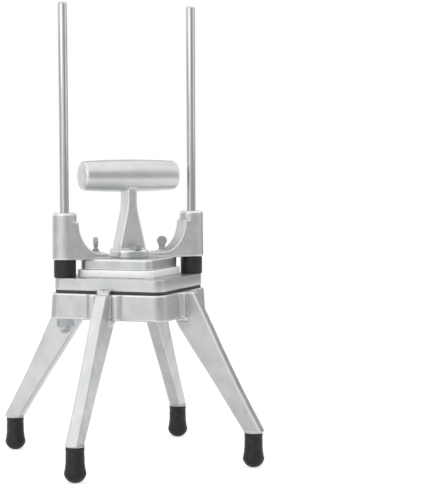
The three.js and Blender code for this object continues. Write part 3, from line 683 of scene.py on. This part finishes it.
# Where a pillar rises from the wall, and where it meets the side of a leg
pillar_seam = PILLAR_OFFSET + sqrt(PILLAR_RADIUS ** 2 - (PILLAR_RADIUS - PILLAR_PROUD) ** 2)
seam_points = (soften(base, on_a_wall(pillar_seam - 3, pillar_seam + 3), passes=12),
               soften(base, on_a_wall(LEG_HALF_THICK - 0.8, PILLAR_OFFSET - 2), passes=24))
boolean(base, slab("chute", CHUTE_HALF, CHUTE_HALF, 3, BASE_BOTTOM - 2, BASE_TOP + 2))
shift(base, turn=DIAGONAL)
print("fillet points", seam_points, "faces", hand_over(
    base, "base", ["base_casting"], cast_aluminium, 35))

# %% [markdown]
# ## Gasket and blade frame
# A rubber sheet between the base and the blade frame shows as a dark line. The frame is a flat
# casting with machined faces and crisp but broken edges. Both are slabs with the fry opening
# cut out, so that the blades show when the pusher is raised.

# %% Slabs with an opening
FRAME_HALF, FRAME_CORNER, OPENING_HALF = 61.7, 10.4, 44.45


def frame_slab(name, node, finish, edge, inset=0.0):
    low, high = box_mm(node)
    half = FRAME_HALF - inset
    piece = slab(name, half, half, FRAME_CORNER, low.z, high.z, steps=12)
    boolean(piece, slab("opening", OPENING_HALF, OPENING_HALF, 3, low.z - 2, high.z + 2))
    round_off(piece, edge, at_level(low.z, high.z), 3)
    modify(piece, "WEIGHTED_NORMAL", keep_sharp=True)
    hand_over(shift(piece, turn=DIAGONAL), "base", [node], finish)
    print(name, "from", round(low.z, 1), "to", round(high.z, 1), "mm")


frame_slab("gasket_sheet", "blade_gasket", gasket_rubber, 0.5, 0.3)
frame_slab("blade_frame_machined", "blade_frame", machined_aluminium, 0.8)

# %% [markdown]
# ## Legs
# A leg is a flat bar that widens towards the base and bends a little on its way out. It is
# swept through level rectangles from crown to toe, along a smooth curve through a few drawn
# points, because a cast leg has no kinks.

# %% Sweep one leg
LEG_TOP, LEG_BOTTOM, FOOT_REACH = 181.2, 37.5, 139.475
HEEL_BACK, HEEL_LEVEL, TOE_HALF_THICK = 55, 154.2, 6.8
outer_line = [(75.1, 181.2), (92.8, 146.3), (104.8, 121.4), (126.8, 78.6), (149.75, 37.5)]
inner_line = [(55, 149.7), (76.4, 118), (97.3, 87.9), (113.8, 62.9), (130.5, 37.5)]


def reach_at(line, height):
    """How far out a smooth curve through the line's points is at a height."""
    spots = [line[0], *line, line[-1]]
    first = next((number for number in range(len(line) - 2) if spots[number + 2][1] <= height),
                 len(line) - 2)
    before, start, end, after = spots[first:first + 4]
    drop = start[1] - end[1]
    share = (start[1] - height) / drop
    slope_in = (end[0] - before[0]) / (before[1] - end[1])
    slope_out = (after[0] - start[0]) / (start[1] - after[1])
    return (start[0] * (2 * share ** 3 - 3 * share ** 2 + 1)
            + slope_in * drop * (share ** 3 - 2 * share ** 2 + share)
            + end[0] * (3 * share ** 2 - 2 * share ** 3)
            + slope_out * drop * (share ** 3 - share ** 2))


def leg_station(height, inner):
    outer = reach_at(outer_line, height)
    down = min(1, max(0, (BASE_BOTTOM - height) / (BASE_BOTTOM - LEG_BOTTOM)))
    thick = LEG_HALF_THICK + (TOE_HALF_THICK - LEG_HALF_THICK) * down
    return ((inner + outer) / 2, 0, height), (outer - inner, 2 * thick, 0)


# The bar runs on below the toe, and is cut off level there once its edges are round.
SPARE, LEVELS, inner_top = 5, 16, inner_line[0][1]
levels = [inner_top - step * (inner_top - LEG_BOTTOM + SPARE) / (LEVELS - 1)
          for step in range(LEVELS)]
stations = [leg_station(height, LEG_BACK) for height in (LEG_TOP, 172, 163, HEEL_LEVEL)]
stations += [leg_station(HEEL_LEVEL, HEEL_BACK)]
stations += [leg_station(height, reach_at(inner_line, height)) for height in levels]
leg_bar = swept("leg_bar", stations)
ease_edges(leg_bar, 1.5, 4)
print("leg with", len(stations), "stations,", len(leg_bar.data.polygons), "faces")

# %% Ears, spigot and the lug of the front and rear legs
EAR_BOTTOM, EAR_X = HEEL_LEVEL - 3.6, BASE_HALF + 0.7
LUG_BOTTOM, LUG_TOP, LUG_X, ROOT_X = 181.8, 185.5, 66.05, 66.9
SPIGOT_RADIUS, SPIGOT_LENGTH = 5, 18.5
ears = shift(slab("leg_ears", 6, 10, 3, EAR_BOTTOM, HEEL_LEVEL + 1.3), x=EAR_X)
round_off(ears, 1.5, at_level(EAR_BOTTOM), 3)
lug = slab("leg_lug", 3.95, 7, 1.5, LUG_BOTTOM, LUG_TOP)
round_off(lug, 0.8, at_level(LUG_TOP), 3)
notch = slab("lug_notch", 3, 2, 0.8, LUG_BOTTOM + 1, LUG_TOP + 1)
boolean(lug, shift(notch, x=3.5, y=2.5))
shift(lug, x=LUG_X)
lug_root = shift(slab("lug_root", 2.3, 4.6, 0, LEG_TOP - 2.5, LUG_BOTTOM + 1.8), x=ROOT_X)
plain_leg = gather("plain_leg", [leg_bar, ears])
lug_leg = gather("lug_leg", [copy_of(plain_leg, "leg_with_lug"), lug, lug_root])

for leg in (plain_leg, lug_leg):
    melt(leg, voxel=0.65)
    # Where the ears meet the leg
    soften(leg, lambda point: HEEL_LEVEL - 7 < point.z < HEEL_LEVEL + 1
           and abs(abs(point.y) - LEG_HALF_THICK) < 2, passes=12)
    enter(leg)
    bpy.ops.mesh.bisect(
        plane_co=metres(0, 0, LEG_BOTTOM), plane_no=(0, 0, 1), use_fill=True, clear_inner=True)
    leave()
    spigot = pin("leg_spigot", SPIGOT_RADIUS, LEG_BOTTOM - SPIGOT_LENGTH, LEG_BOTTOM + 3, 32)
    boolean(leg, shift(spigot, x=FOOT_REACH), "UNION")
print("plain leg", len(plain_leg.data.polygons), "faces, leg with lug", len(lug_leg.data.polygons))

# %% Four legs on the diagonals
LEGS = {"front": -3, "right": -1, "rear": 1, "left": 3}
for name, eighths in LEGS.items():
    source = lug_leg if name in ("front", "rear") else plain_leg
    piece = shift(copy_of(source, "cast_leg_" + name), turn=eighths * DIAGONAL)
    # The right leg keeps the base's colour, and the paler copy on the other legs is painted light.
    finish = cast_aluminium if name == "right" else lit_leg_aluminium
    hand_over(piece, "base", ["leg_" + name], finish, 60)
discard(plain_leg, lug_leg)
print("legs:", ", ".join(LEGS))

# %% [markdown]
# ## Boots and rings
# Each leg ends in a rubber boot: a round bulb on the table, a slimmer neck, and a thin lip
# moulded round its mouth. A pale ring sits between boot and leg. The boot is turned from a
# profile with many short steps, so that its outline is smooth.

# %% Turn a boot and a ring
NECK_RADIUS, BOOT_HEIGHT, LIP = 9.5, 36, 0.45
SOCKET_RADIUS, SOCKET_FLOOR = 5.3, 16
# Radius and height, from the neck over the widest place down to the small flat on the table
boot_line = [(NECK_RADIUS, 22), (9.65, 19), (10, 16), (10.45, 12.8), (11.2, 9), (10.5, 6.3),
             (9.1, 3.9), (7, 1.7), (4, 0)]
heights = [step * 0.5 for step in range(45)]
profile = [(0, 0)] + [(reach_at(boot_line, height), height) for height in heights]
profile += [
    (NECK_RADIUS - 0.1, 29.5), (NECK_RADIUS - 0.35, 30.3), (NECK_RADIUS - 0.35, 30.8),
    (NECK_RADIUS, 31.6), *quarter(NECK_RADIUS - LIP, BOOT_HEIGHT - LIP, LIP, 0, 1, 3),
    (SOCKET_RADIUS, BOOT_HEIGHT), (SOCKET_RADIUS, SOCKET_FLOOR), (0, SOCKET_FLOOR),
]
boot = turned("boot", profile, 64)
ring = tube("ring", "foot_ring_front", SOCKET_RADIUS, 0.5)
print("boot profile of", len(profile), "points")

# %% Four boots and four rings
for name, eighths in LEGS.items():
    for source, node, slot, finish in (
            (boot, "foot_boot_", "black_rubber", boot_rubber),
            (ring, "foot_ring_", "pale_ring", machined_aluminium)):
        piece = copy_of(source, source.name + "_" + name)
        swing(piece, FOOT_REACH, eighths * DIAGONAL)
        hand_over(piece, "base", [node + name], finish)
discard(boot, ring)
print("feet reach", FOOT_REACH, "mm from the middle")

# %% [markdown]
# ## Pusher head
# One casting carries everything that moves: a plate over the block, two arms, and a sleeve on
# each rod. The arm's top line is a quarter of an ellipse, so the arm is swept outwards through
# upright rectangles whose upper edge follows that line.

# %% Plate, arms and sleeves
PLATE_HALF, PLATE_CORNER, PLATE_ROUND = 40.6, 8, 1.8
PLATE_BOTTOM, PLATE_TOP = 204.85, 216.25
PAD_TOP, PAD_END, NOSE_X = 222, 36, 27.5
SLEEVE_BOTTOM, SLEEVE_TOP, SLEEVE_RADIUS, SLEEVE_DRAFT = 215.45, 264.75, 12.6, 0.4
SLEEVE_ROUND, BUSH_BORE = 2.6, 7.3
ARM_HALF_WIDTH, UNDERCUT_X, THUMB_X = 12.2, 44, 38
CURVE_TOP = SLEEVE_TOP - 9.4
CURVE_X = rod_x - SLEEVE_RADIUS + 0.9

plate = slab("plate", PLATE_HALF, PLATE_HALF, PLATE_CORNER, PLATE_BOTTOM, PLATE_TOP, steps=12)
round_off(plate, PLATE_ROUND, at_level(PLATE_TOP), 6)
shift(plate, turn=DIAGONAL)


def arm_station(x):
    """An upright rectangle through the arm, whose underside is higher past the plate."""
    share = min(1, max(0, (x - PAD_END) / (CURVE_X - PAD_END)))
    top = PAD_TOP + (CURVE_TOP - PAD_TOP) * (1 - sqrt(1 - share ** 2))
    bottom = PLATE_TOP - PLATE_ROUND if x < UNDERCUT_X else SLEEVE_BOTTOM
    return (x, 0, (top + bottom) / 2), (0, 2 * ARM_HALF_WIDTH, top - bottom)


arm_reach = [PAD_END + (CURVE_X - PAD_END) * sin(step / 12 * pi / 2) for step in range(13)]
arm_reach += [NOSE_X, UNDERCUT_X - 0.3, UNDERCUT_X + 0.3, rod_x]
arm = swept("arm", [arm_station(x) for x in sorted(arm_reach)], sideways=True)
ease_edges(arm, 1.4, 3)
sleeve = turned("sleeve", [
    (BUSH_BORE, SLEEVE_BOTTOM),
    *quarter(SLEEVE_RADIUS + SLEEVE_DRAFT - 1, SLEEVE_BOTTOM + 1, 1, -1, 0),
    *quarter(SLEEVE_RADIUS - SLEEVE_ROUND, SLEEVE_TOP - SLEEVE_ROUND, SLEEVE_ROUND, 0, 1, 6),
    (BUSH_BORE, SLEEVE_TOP),
    (BUSH_BORE, SLEEVE_BOTTOM),
])
shift(sleeve, x=rod_x)
# A low ring on the pad, that the thumb screw's collar stands on
seat_ring = turned("seat_ring", [(0, PAD_TOP - 2), (5.4, PAD_TOP - 2), (5.4, PAD_TOP + 1.2),
                                 (4.9, PAD_TOP + 1.7), (0, PAD_TOP + 1.7)], 48)
shift(seat_ring, x=THUMB_X)
halves = [shift(copy_of(source, "half"), turn=turn)
          for turn in (pi, 0) for source in (arm, sleeve, seat_ring)]
discard(arm, sleeve, seat_ring)
head = gather("head", [plate, *halves])
print("head in", 1 + len(halves), "blocks")

# %% Melt the head and draw out its fillets
melt(head, voxel=0.75)
# Where an arm meets its sleeve, and where its pad rises from the plate
sleeve_points = soften(
    head, lambda point: abs(point.x) < rod_x and SLEEVE_BOTTOM + 2 < point.z < CURVE_TOP + 3
    and 11.5 < sqrt((abs(point.x) - rod_x) ** 2 + point.y ** 2) < 16, passes=6)
pad_points = soften(
    head, lambda point: PLATE_TOP - 1 < point.z < PLATE_TOP + 1.2 and abs(point.x) > NOSE_X - 3
    and abs(point.y) < ARM_HALF_WIDTH + 3, passes=6)
for sign in SIDES.values():
    bore = pin("bore", BUSH_BORE, SLEEVE_BOTTOM - 2, SLEEVE_TOP + 2)
    boolean(head, shift(bore, x=sign * rod_x))
print("fillet points", sleeve_points, pad_points, "faces", hand_over(
    head, "pusher", ["pusher_head"], cast_aluminium, 60))

# %% [markdown]
# ## Pusher block
# The block is moulded in white plastic: a slab, and under it a square finger for each cell of
# the blade grid. One finger is modelled and repeated in rows. The corner fingers are rounded
# like the slab, to clear the bumpers.

# %% Slab and fingers
BLOCK_HALF, BLOCK_CORNER, BLOCK_BOTTOM = 44, 11, 197.25
CELLS, PITCH, FINGER_WIDTH, FINGER_LENGTH = 7, 12.7, 10.4, 15.5
block_form = BLOCK_HALF, BLOCK_HALF, BLOCK_CORNER
top_slab = slab("block_slab", *block_form, BLOCK_BOTTOM, PLATE_BOTTOM, steps=12)
round_off(top_slab, 0.8, at_level(PLATE_BOTTOM), 3)
round_off(top_slab, 0.5, at_level(BLOCK_BOTTOM), 2)
finger_bottom = BLOCK_BOTTOM - FINGER_LENGTH
finger = slab("finger", FINGER_WIDTH / 2, FINGER_WIDTH / 2, 0.6, finger_bottom, BLOCK_BOTTOM + 1,
              steps=2)
round_off(finger, 0.6, at_level(finger_bottom), 2)
first = -(CELLS - 1) / 2 * PITCH
shift(finger, x=first, y=first)
for row_axis in ((PITCH * MM, 0, 0), (0, PITCH * MM, 0)):
    modify(finger, "ARRAY", count=CELLS, use_relative_offset=False, use_constant_offset=True,
           constant_offset_displace=row_axis)
outline = slab("block_outline", *block_form, finger_bottom - 2, PLATE_BOTTOM, steps=12)
boolean(finger, outline, "INTERSECT")
block = named(boolean(top_slab, finger, "UNION"), "polyethylene_block")
modify(block, "WEIGHTED_NORMAL", keep_sharp=True)
shift(block, turn=DIAGONAL)
print("block with", CELLS ** 2, "fingers, faces", hand_over(
    block, "pusher", ["pusher_block"], block_plastic))

# %% [markdown]
# ## T-handle
# Grip, neck and flange are one casting, buffed where the hands go. The grip is a barrel with
# well rounded ends. The neck tapers from a wide foot to a narrow throat. The flange is an
# oblong with its corners cut off, bolted to the plate. A remesh melts the three into one.

# %% Turn the grip
GRIP_CENTRE, GRIP_LENGTH = 303, 107.5
GRIP_MIDDLE, GRIP_END, GRIP_EDGE = 17, 15.5, 4.4
straight = GRIP_LENGTH / 2 - GRIP_EDGE
barrel = [(GRIP_END + (GRIP_MIDDLE - GRIP_END) * (1 - share ** 2), share * straight)
          for share in [2 * step / 12 - 1 for step in range(1, 12)]]
grip_profile = [
    (0, -GRIP_LENGTH / 2), *quarter(GRIP_END - GRIP_EDGE, -straight, GRIP_EDGE, -1, 0, 8),
    *barrel, *quarter(GRIP_END - GRIP_EDGE, straight, GRIP_EDGE, 0, 1, 8), (0, GRIP_LENGTH / 2)]
grip = shift(turned("grip", grip_profile, 96), turn=pi / 2, axis="Y")
shift(grip, z=GRIP_CENTRE)
print("grip profile of", len(grip_profile), "points")

# %% Sweep the neck and cut the flange
FLANGE_TOP, FLANGE_X, FLANGE_Y = 225, 17, 21.2
FLANGE_CUT_X, FLANGE_CUT_Y, FLANGE_ROUND = 7.7, 5.4, 2.2
NECK_HALF_X, NECK_HALF_Y, NECK_FOOT = 5.5, 11.2, 15.6
neck_rise = GRIP_CENTRE - FLANGE_TOP
# Shares of the neck's height where its taper starts to curve, bends and ends, and the share of
# the taper that is left where the curve starts
THROAT_START, THROAT_BEND, THROAT_END, TAPER_LEFT = 0.41, 0.57, 0.655, 0.285
start_half = NECK_HALF_X + TAPER_LEFT * (NECK_FOOT - NECK_HALF_X)
neck_line = [(NECK_FOOT, FLANGE_TOP - 3), (NECK_FOOT, FLANGE_TOP)]
for step in range(9):
    share = step / 8
    height = (THROAT_START * (1 - share) ** 2 + 2 * THROAT_BEND * share * (1 - share)
              + THROAT_END * share ** 2)
    half = start_half * (1 - share) ** 2 + NECK_HALF_X * (1 - (1 - share) ** 2)
    neck_line.append((half, FLANGE_TOP + height * neck_rise))
neck_line.append((NECK_HALF_X, GRIP_CENTRE))
neck = swept("neck", [((0, 0, height), (2 * half, 2 * NECK_HALF_Y, 0))
                      for half, height in neck_line])
ease_edges(neck, 2, 4)

flange = slab("flange", FLANGE_X, FLANGE_Y, 0, PLATE_TOP, FLANGE_TOP)
enter(flange)
for sign_x, sign_y in ((-1, -1), (-1, 1), (1, -1), (1, 1)):
    bpy.ops.mesh.select_all(action="SELECT")
    facing = Vector((sign_x * FLANGE_CUT_Y, sign_y * FLANGE_CUT_X, 0)).normalized()
    bpy.ops.mesh.bisect(plane_co=metres(sign_x * (FLANGE_X - FLANGE_CUT_X), sign_y * FLANGE_Y, 0),
                        plane_no=facing, use_fill=True, clear_outer=True)
leave()
round_off(flange, 3, upright)
round_off(flange, FLANGE_ROUND, at_level(FLANGE_TOP))
round_off(flange, 1.2, at_level(PLATE_TOP), 3)
handle = gather("handle", [grip, neck, flange])
melt(handle, voxel=0.7)
print("handle with", len(handle.data.polygons), "faces")

# %% Draw out the handle's fillets and hand it over
BOLT_PLACES = {"front": (2, -16.6), "rear": (-2, 16.6)}
SPOT_RADIUS, SPOT_HEIGHT = 6.1, 4.7
# Where the neck runs into the grip, and where it stands on its flange
grip_points = soften(
    handle, lambda point: point.z < GRIP_CENTRE and abs(point.x) < NECK_HALF_X + 3
    and 15.5 < sqrt((point.z - GRIP_CENTRE) ** 2 + point.y ** 2) < 19.5, passes=20)
foot_points = soften(
    handle, lambda point: FLANGE_TOP - 0.8 < point.z < FLANGE_TOP + 3.5
    and abs(point.x) < NECK_FOOT + 2 and abs(point.y) < NECK_HALF_Y + 2.5, passes=10)
for x, y in BOLT_PLACES.values():
    spot = pin("spot_face", SPOT_RADIUS, FLANGE_TOP, FLANGE_TOP + SPOT_HEIGHT)
    boolean(handle, shift(spot, x=x, y=y))
print("fillet points", grip_points, foot_points, "faces", hand_over(
    handle, "pusher", ["t_handle"], buffed_aluminium, 60))

# %% [markdown]
# ## Bolts and thumb screws
# Two hexagon bolts hold the handle to the plate. Each thumb screw has a flat head like a coin
# on a short neck, to be turned without a tool. It holds the block, which comes off for washing.

# %% Hexagon bolts
BOLT_FLATS, BOLT_HEAD, BOLT_RADIUS = 10, 4.4, 3
for name, (x, y) in BOLT_PLACES.items():
    bolt = hexagon("bolt_head", BOLT_FLATS, FLANGE_TOP, FLANGE_TOP + BOLT_HEAD, "top", pi / 6)
    shank = pin("bolt_shank", BOLT_RADIUS, PLATE_BOTTOM + 2.5, FLANGE_TOP + 2, 32)
    boolean(bolt, shank, "UNION")
    shift(named(bolt, "hexagon_bolt_" + name), x=x, y=y)
    hand_over(bolt, "pusher", ["handle_bolt_" + name], zinc_steel, 25)
print("hexagon bolts across flats:", BOLT_FLATS, "mm")

# %% Thumb screws
COLLAR_TOP, COLLAR_RADIUS, STEM_RADIUS = PAD_TOP + 4.2, 3.5, 3
COIN_RADIUS, COIN_HALF_HEIGHT, COIN_THICKNESS = 5.4, 5.2, 4
HEAD_CENTRE = COLLAR_TOP + 1.8 + COIN_HALF_HEIGHT
clear()
bpy.ops.mesh.primitive_cylinder_add(
    vertices=48, radius=COIN_RADIUS * MM, depth=COIN_THICKNESS * MM, rotation=(pi / 2, 0, 0))
coin = newest("coin")
round_off(coin, 1.2, lambda points: all(
    abs(abs(point.y) - COIN_THICKNESS / 2) < NEAR for point in points))
coin.scale.z = COIN_HALF_HEIGHT / COIN_RADIUS
shift(coin, z=HEAD_CENTRE)
throat = swept("throat", [
    ((0, 0, COLLAR_TOP - 1), (6.4, 3.6, 0)), ((0, 0, COLLAR_TOP + 1), (6.4, 3.4, 0)),
    ((0, 0, COLLAR_TOP + 2.5), (7.2, 3.4, 0)), ((0, 0, COLLAR_TOP + 4.5), (9, 3.4, 0))])
ease_edges(throat, 0.8, 3)
stem = turned("stem", [
    (0, BLOCK_BOTTOM + 2.5), (STEM_RADIUS - 0.4, BLOCK_BOTTOM + 2.5),
    (STEM_RADIUS, BLOCK_BOTTOM + 3), (STEM_RADIUS, PAD_TOP), (COLLAR_RADIUS, PAD_TOP),
    (COLLAR_RADIUS, COLLAR_TOP - 0.5), (COLLAR_RADIUS - 0.5, COLLAR_TOP), (0, COLLAR_TOP),
], 48)
thumb_screw = melt(gather("thumb_screw", [coin, throat, stem]), voxel=0.35, passes=3)
soften(thumb_screw, lambda point: abs(point.z - COLLAR_TOP) < 1.2, passes=5)
THUMB_TURN = {"left": 1.4, "right": -0.38}
for side, sign in SIDES.items():
    piece = shift(copy_of(thumb_screw, "coin_screw_" + side), turn=THUMB_TURN[side])
    shift(piece, x=sign * THUMB_X)
    hand_over(piece, side + "_thumb_screw", ["thumb_screw_" + side],
              die_cast_aluminium, 60)
discard(thumb_screw)
print("thumb screws", THUMB_X, "mm either side of the middle")

# %% [markdown]
# ## Pieces that stay as they are
# The blades, the bushes in the sleeves and the screws inside the base are plain forms. Their
# CAD nodes keep their own meshes and only get finishes.

# %% Dress the CAD nodes that still show
for name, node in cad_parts.items():
    for start, finish in (("upper_blade", blade_steel), ("lower_blade", blade_steel),
                          ("sleeve_bush", bush_plastic), ("leg_screw", zinc_steel)):
        if name.startswith(start):
            dress(node, finish)
print("CAD nodes that show:", sum(not node.hide_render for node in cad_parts.values()))

# %% [markdown]
# ## Studio
# The cutter stands on a pale floor in soft light, in front of white. Metal shows what is round
# it, so the room matters more than the lamps. It is white to the camera and to reflections. As
# in a photographer's studio, grey cards, which only reflections see, give a tone to the faces
# that turn to them, and two bright strips draw the line down each rod.

# %% Floor
FLOOR_GLOW, WHITE = 0.74, (1, 1, 1, 1)


def rays(tree, *kinds):
    """1 for a ray of one of the kinds, and 0 for any other."""
    path = add(tree, "LightPath").outputs
    share = path[kinds[0]]
    for kind in kinds[1:]:
        share = add(tree, "Math", links={0: share, 1: path[kind]}, operation="MAXIMUM").outputs[0]
    return share


clear()
bpy.ops.mesh.primitive_plane_add(size=12)
floor = newest("floor")
# Light bounces off pale paint. What looks at the floor sees darker paint that glows, so that it
# is as white as the room and the shadow on it stays faint.
floor_paint, tree = new_material("pale_floor")
direct = rays(tree, "Is Camera Ray", "Is Glossy Ray")
paint = add(tree, "Mix", {6: linear("#f2f2f2"), 7: linear("#a0a0a0")}, {0: direct},
            data_type="RGBA")
lit = add(tree, "BsdfDiffuse", links={"Color": paint.outputs[2]})
glow_share = add(tree, "Math", {1: FLOOR_GLOW}, {0: direct}, operation="MULTIPLY")
glow = add(tree, "Emission", {"Color": WHITE}, {"Strength": glow_share})
both = add(tree, "AddShader", links={0: lit, 1: glow})
add(tree, "OutputMaterial", links={"Surface": both})
floor.data.materials.append(floor_paint)
print("floor of", floor.dimensions.x, "m")

# %% World
world = bpy.data.worlds.new("white_room")
scene.world = world
world.use_nodes = True
tree = world.node_tree
tree.nodes.clear()
AMBIENT = 0.74
direct = rays(tree, "Is Camera Ray", "Is Glossy Ray", "Is Transmission Ray")
strength = add(tree, "MapRange", {"To Min": AMBIENT, "To Max": 1.0}, {"Value": direct})
sky = add(tree, "Background", {"Color": WHITE}, {"Strength": strength})
add(tree, "OutputWorld", links={"Surface": sky})
print("world strength", AMBIENT, "for soft light, 1 where it is seen")

# %% Lamps for the matt pieces
def round_about(degrees, distance, height):
    """A place at an angle round the object, counted from the front towards the right."""
    angle = radians(degrees)
    return distance * sin(angle), -distance * cos(angle), height


def panel(name, place, size, power):
    """A square soft panel that faces the object and that reflections don't see."""
    lamp = bpy.data.lights.new(name, "AREA")
    lamp.size = size
    lamp.energy = power
    holder = bpy.data.objects.new(name, lamp)
    holder.location = place
    aim = Vector((0, 0, 0.2)) - Vector(place)
    holder.rotation_euler = aim.to_track_quat("-Z", "Y").to_euler()
    holder.visible_glossy = False
    scene.collection.objects.link(holder)


panel("key_panel", round_about(-62, 2.2, 1.5), 1.8, 23)
panel("top_panel", (0.1, 0.1, 1.9), 1.2, 8)
panel("fill_panel", round_about(62, 2.4, 1.2), 1.5, 5)

# %% Cards, strips and a soft ceiling that only reflections see
def card(name, place, turn, width, height, tone):
    """A card that glows in one tone, where 1 is white."""
    clear()
    bpy.ops.mesh.primitive_plane_add(size=1, location=place, rotation=turn)
    piece = named(bpy.context.object, name)
    piece.scale = (width, height, 1)
    paint, tree = new_material(name + "_paint")
    glow = add(tree, "Emission", {"Color": WHITE, "Strength": tone})
    add(tree, "OutputMaterial", links={"Surface": glow})
    piece.data.materials.append(paint)
    piece.visible_camera = piece.visible_diffuse = piece.visible_shadow = False
    piece.visible_transmission = False


for name, degrees, distance, width, bottom, top, tone in (
        ("front_card", 18, 0.9, 1.62, 0, 0.42, 0.475),
        ("front_upper_card", 12, 0.9, 0.75, 0.42, 0.8, 0.44),
        ("middle_card", -36, 1.25, 0.5, 0, 0.5, 0.72),
        ("corner_card", 76, 1.2, 0.62, 0, 0.42, 0.6),
        ("right_card", 113, 1.2, 0.9, 0.02, 0.7, 0.36),
        ("left_card", -114, 1.2, 0.7, 0, 0.7, 0.55),
        ("low_card", -150, 1.2, 0.9, 0, 0.1, 0.4),
        ("side_card", -68, 1.7, 1.7, 0, 0.8, 0.89),
        ("high_card", -77, 1.5, 1.1, 0.95, 1.9, 1.35),
        ("rear_card", 168, 1.2, 1.0, 0.5, 1.4, 0.45),
        ("end_card", -158, 1.2, 0.5, 0.3, 0.5, 1.15),
        ("bright_strip", -53, 1.5, 0.18, 0.28, 0.68, 2.2),
        ("upper_strip", -60, 1.5, 1.0, 0.68, 0.95, 2.0)):
    card(name, round_about(degrees, distance, (bottom + top) / 2), (pi / 2, 0, radians(degrees)),
         width, top - bottom, tone)
card("ceiling", (0, 0, 2.0), (0, 0, 0), 3.2, 3.2, 1.15)
# Two dim cards on the floor, seen only in reflections, are painted shadow: one under the object,
# one where the grip's underside mirrors the floor.
card("floor_shade", (-0.05, -0.06, 0.0005), (0, 0, 0), 0.34, 0.34, 0.68)
card("hand_shade", round_about(22, 0.27, 0.001), (0, 0, radians(22)), 0.5, 0.2, 0.85)
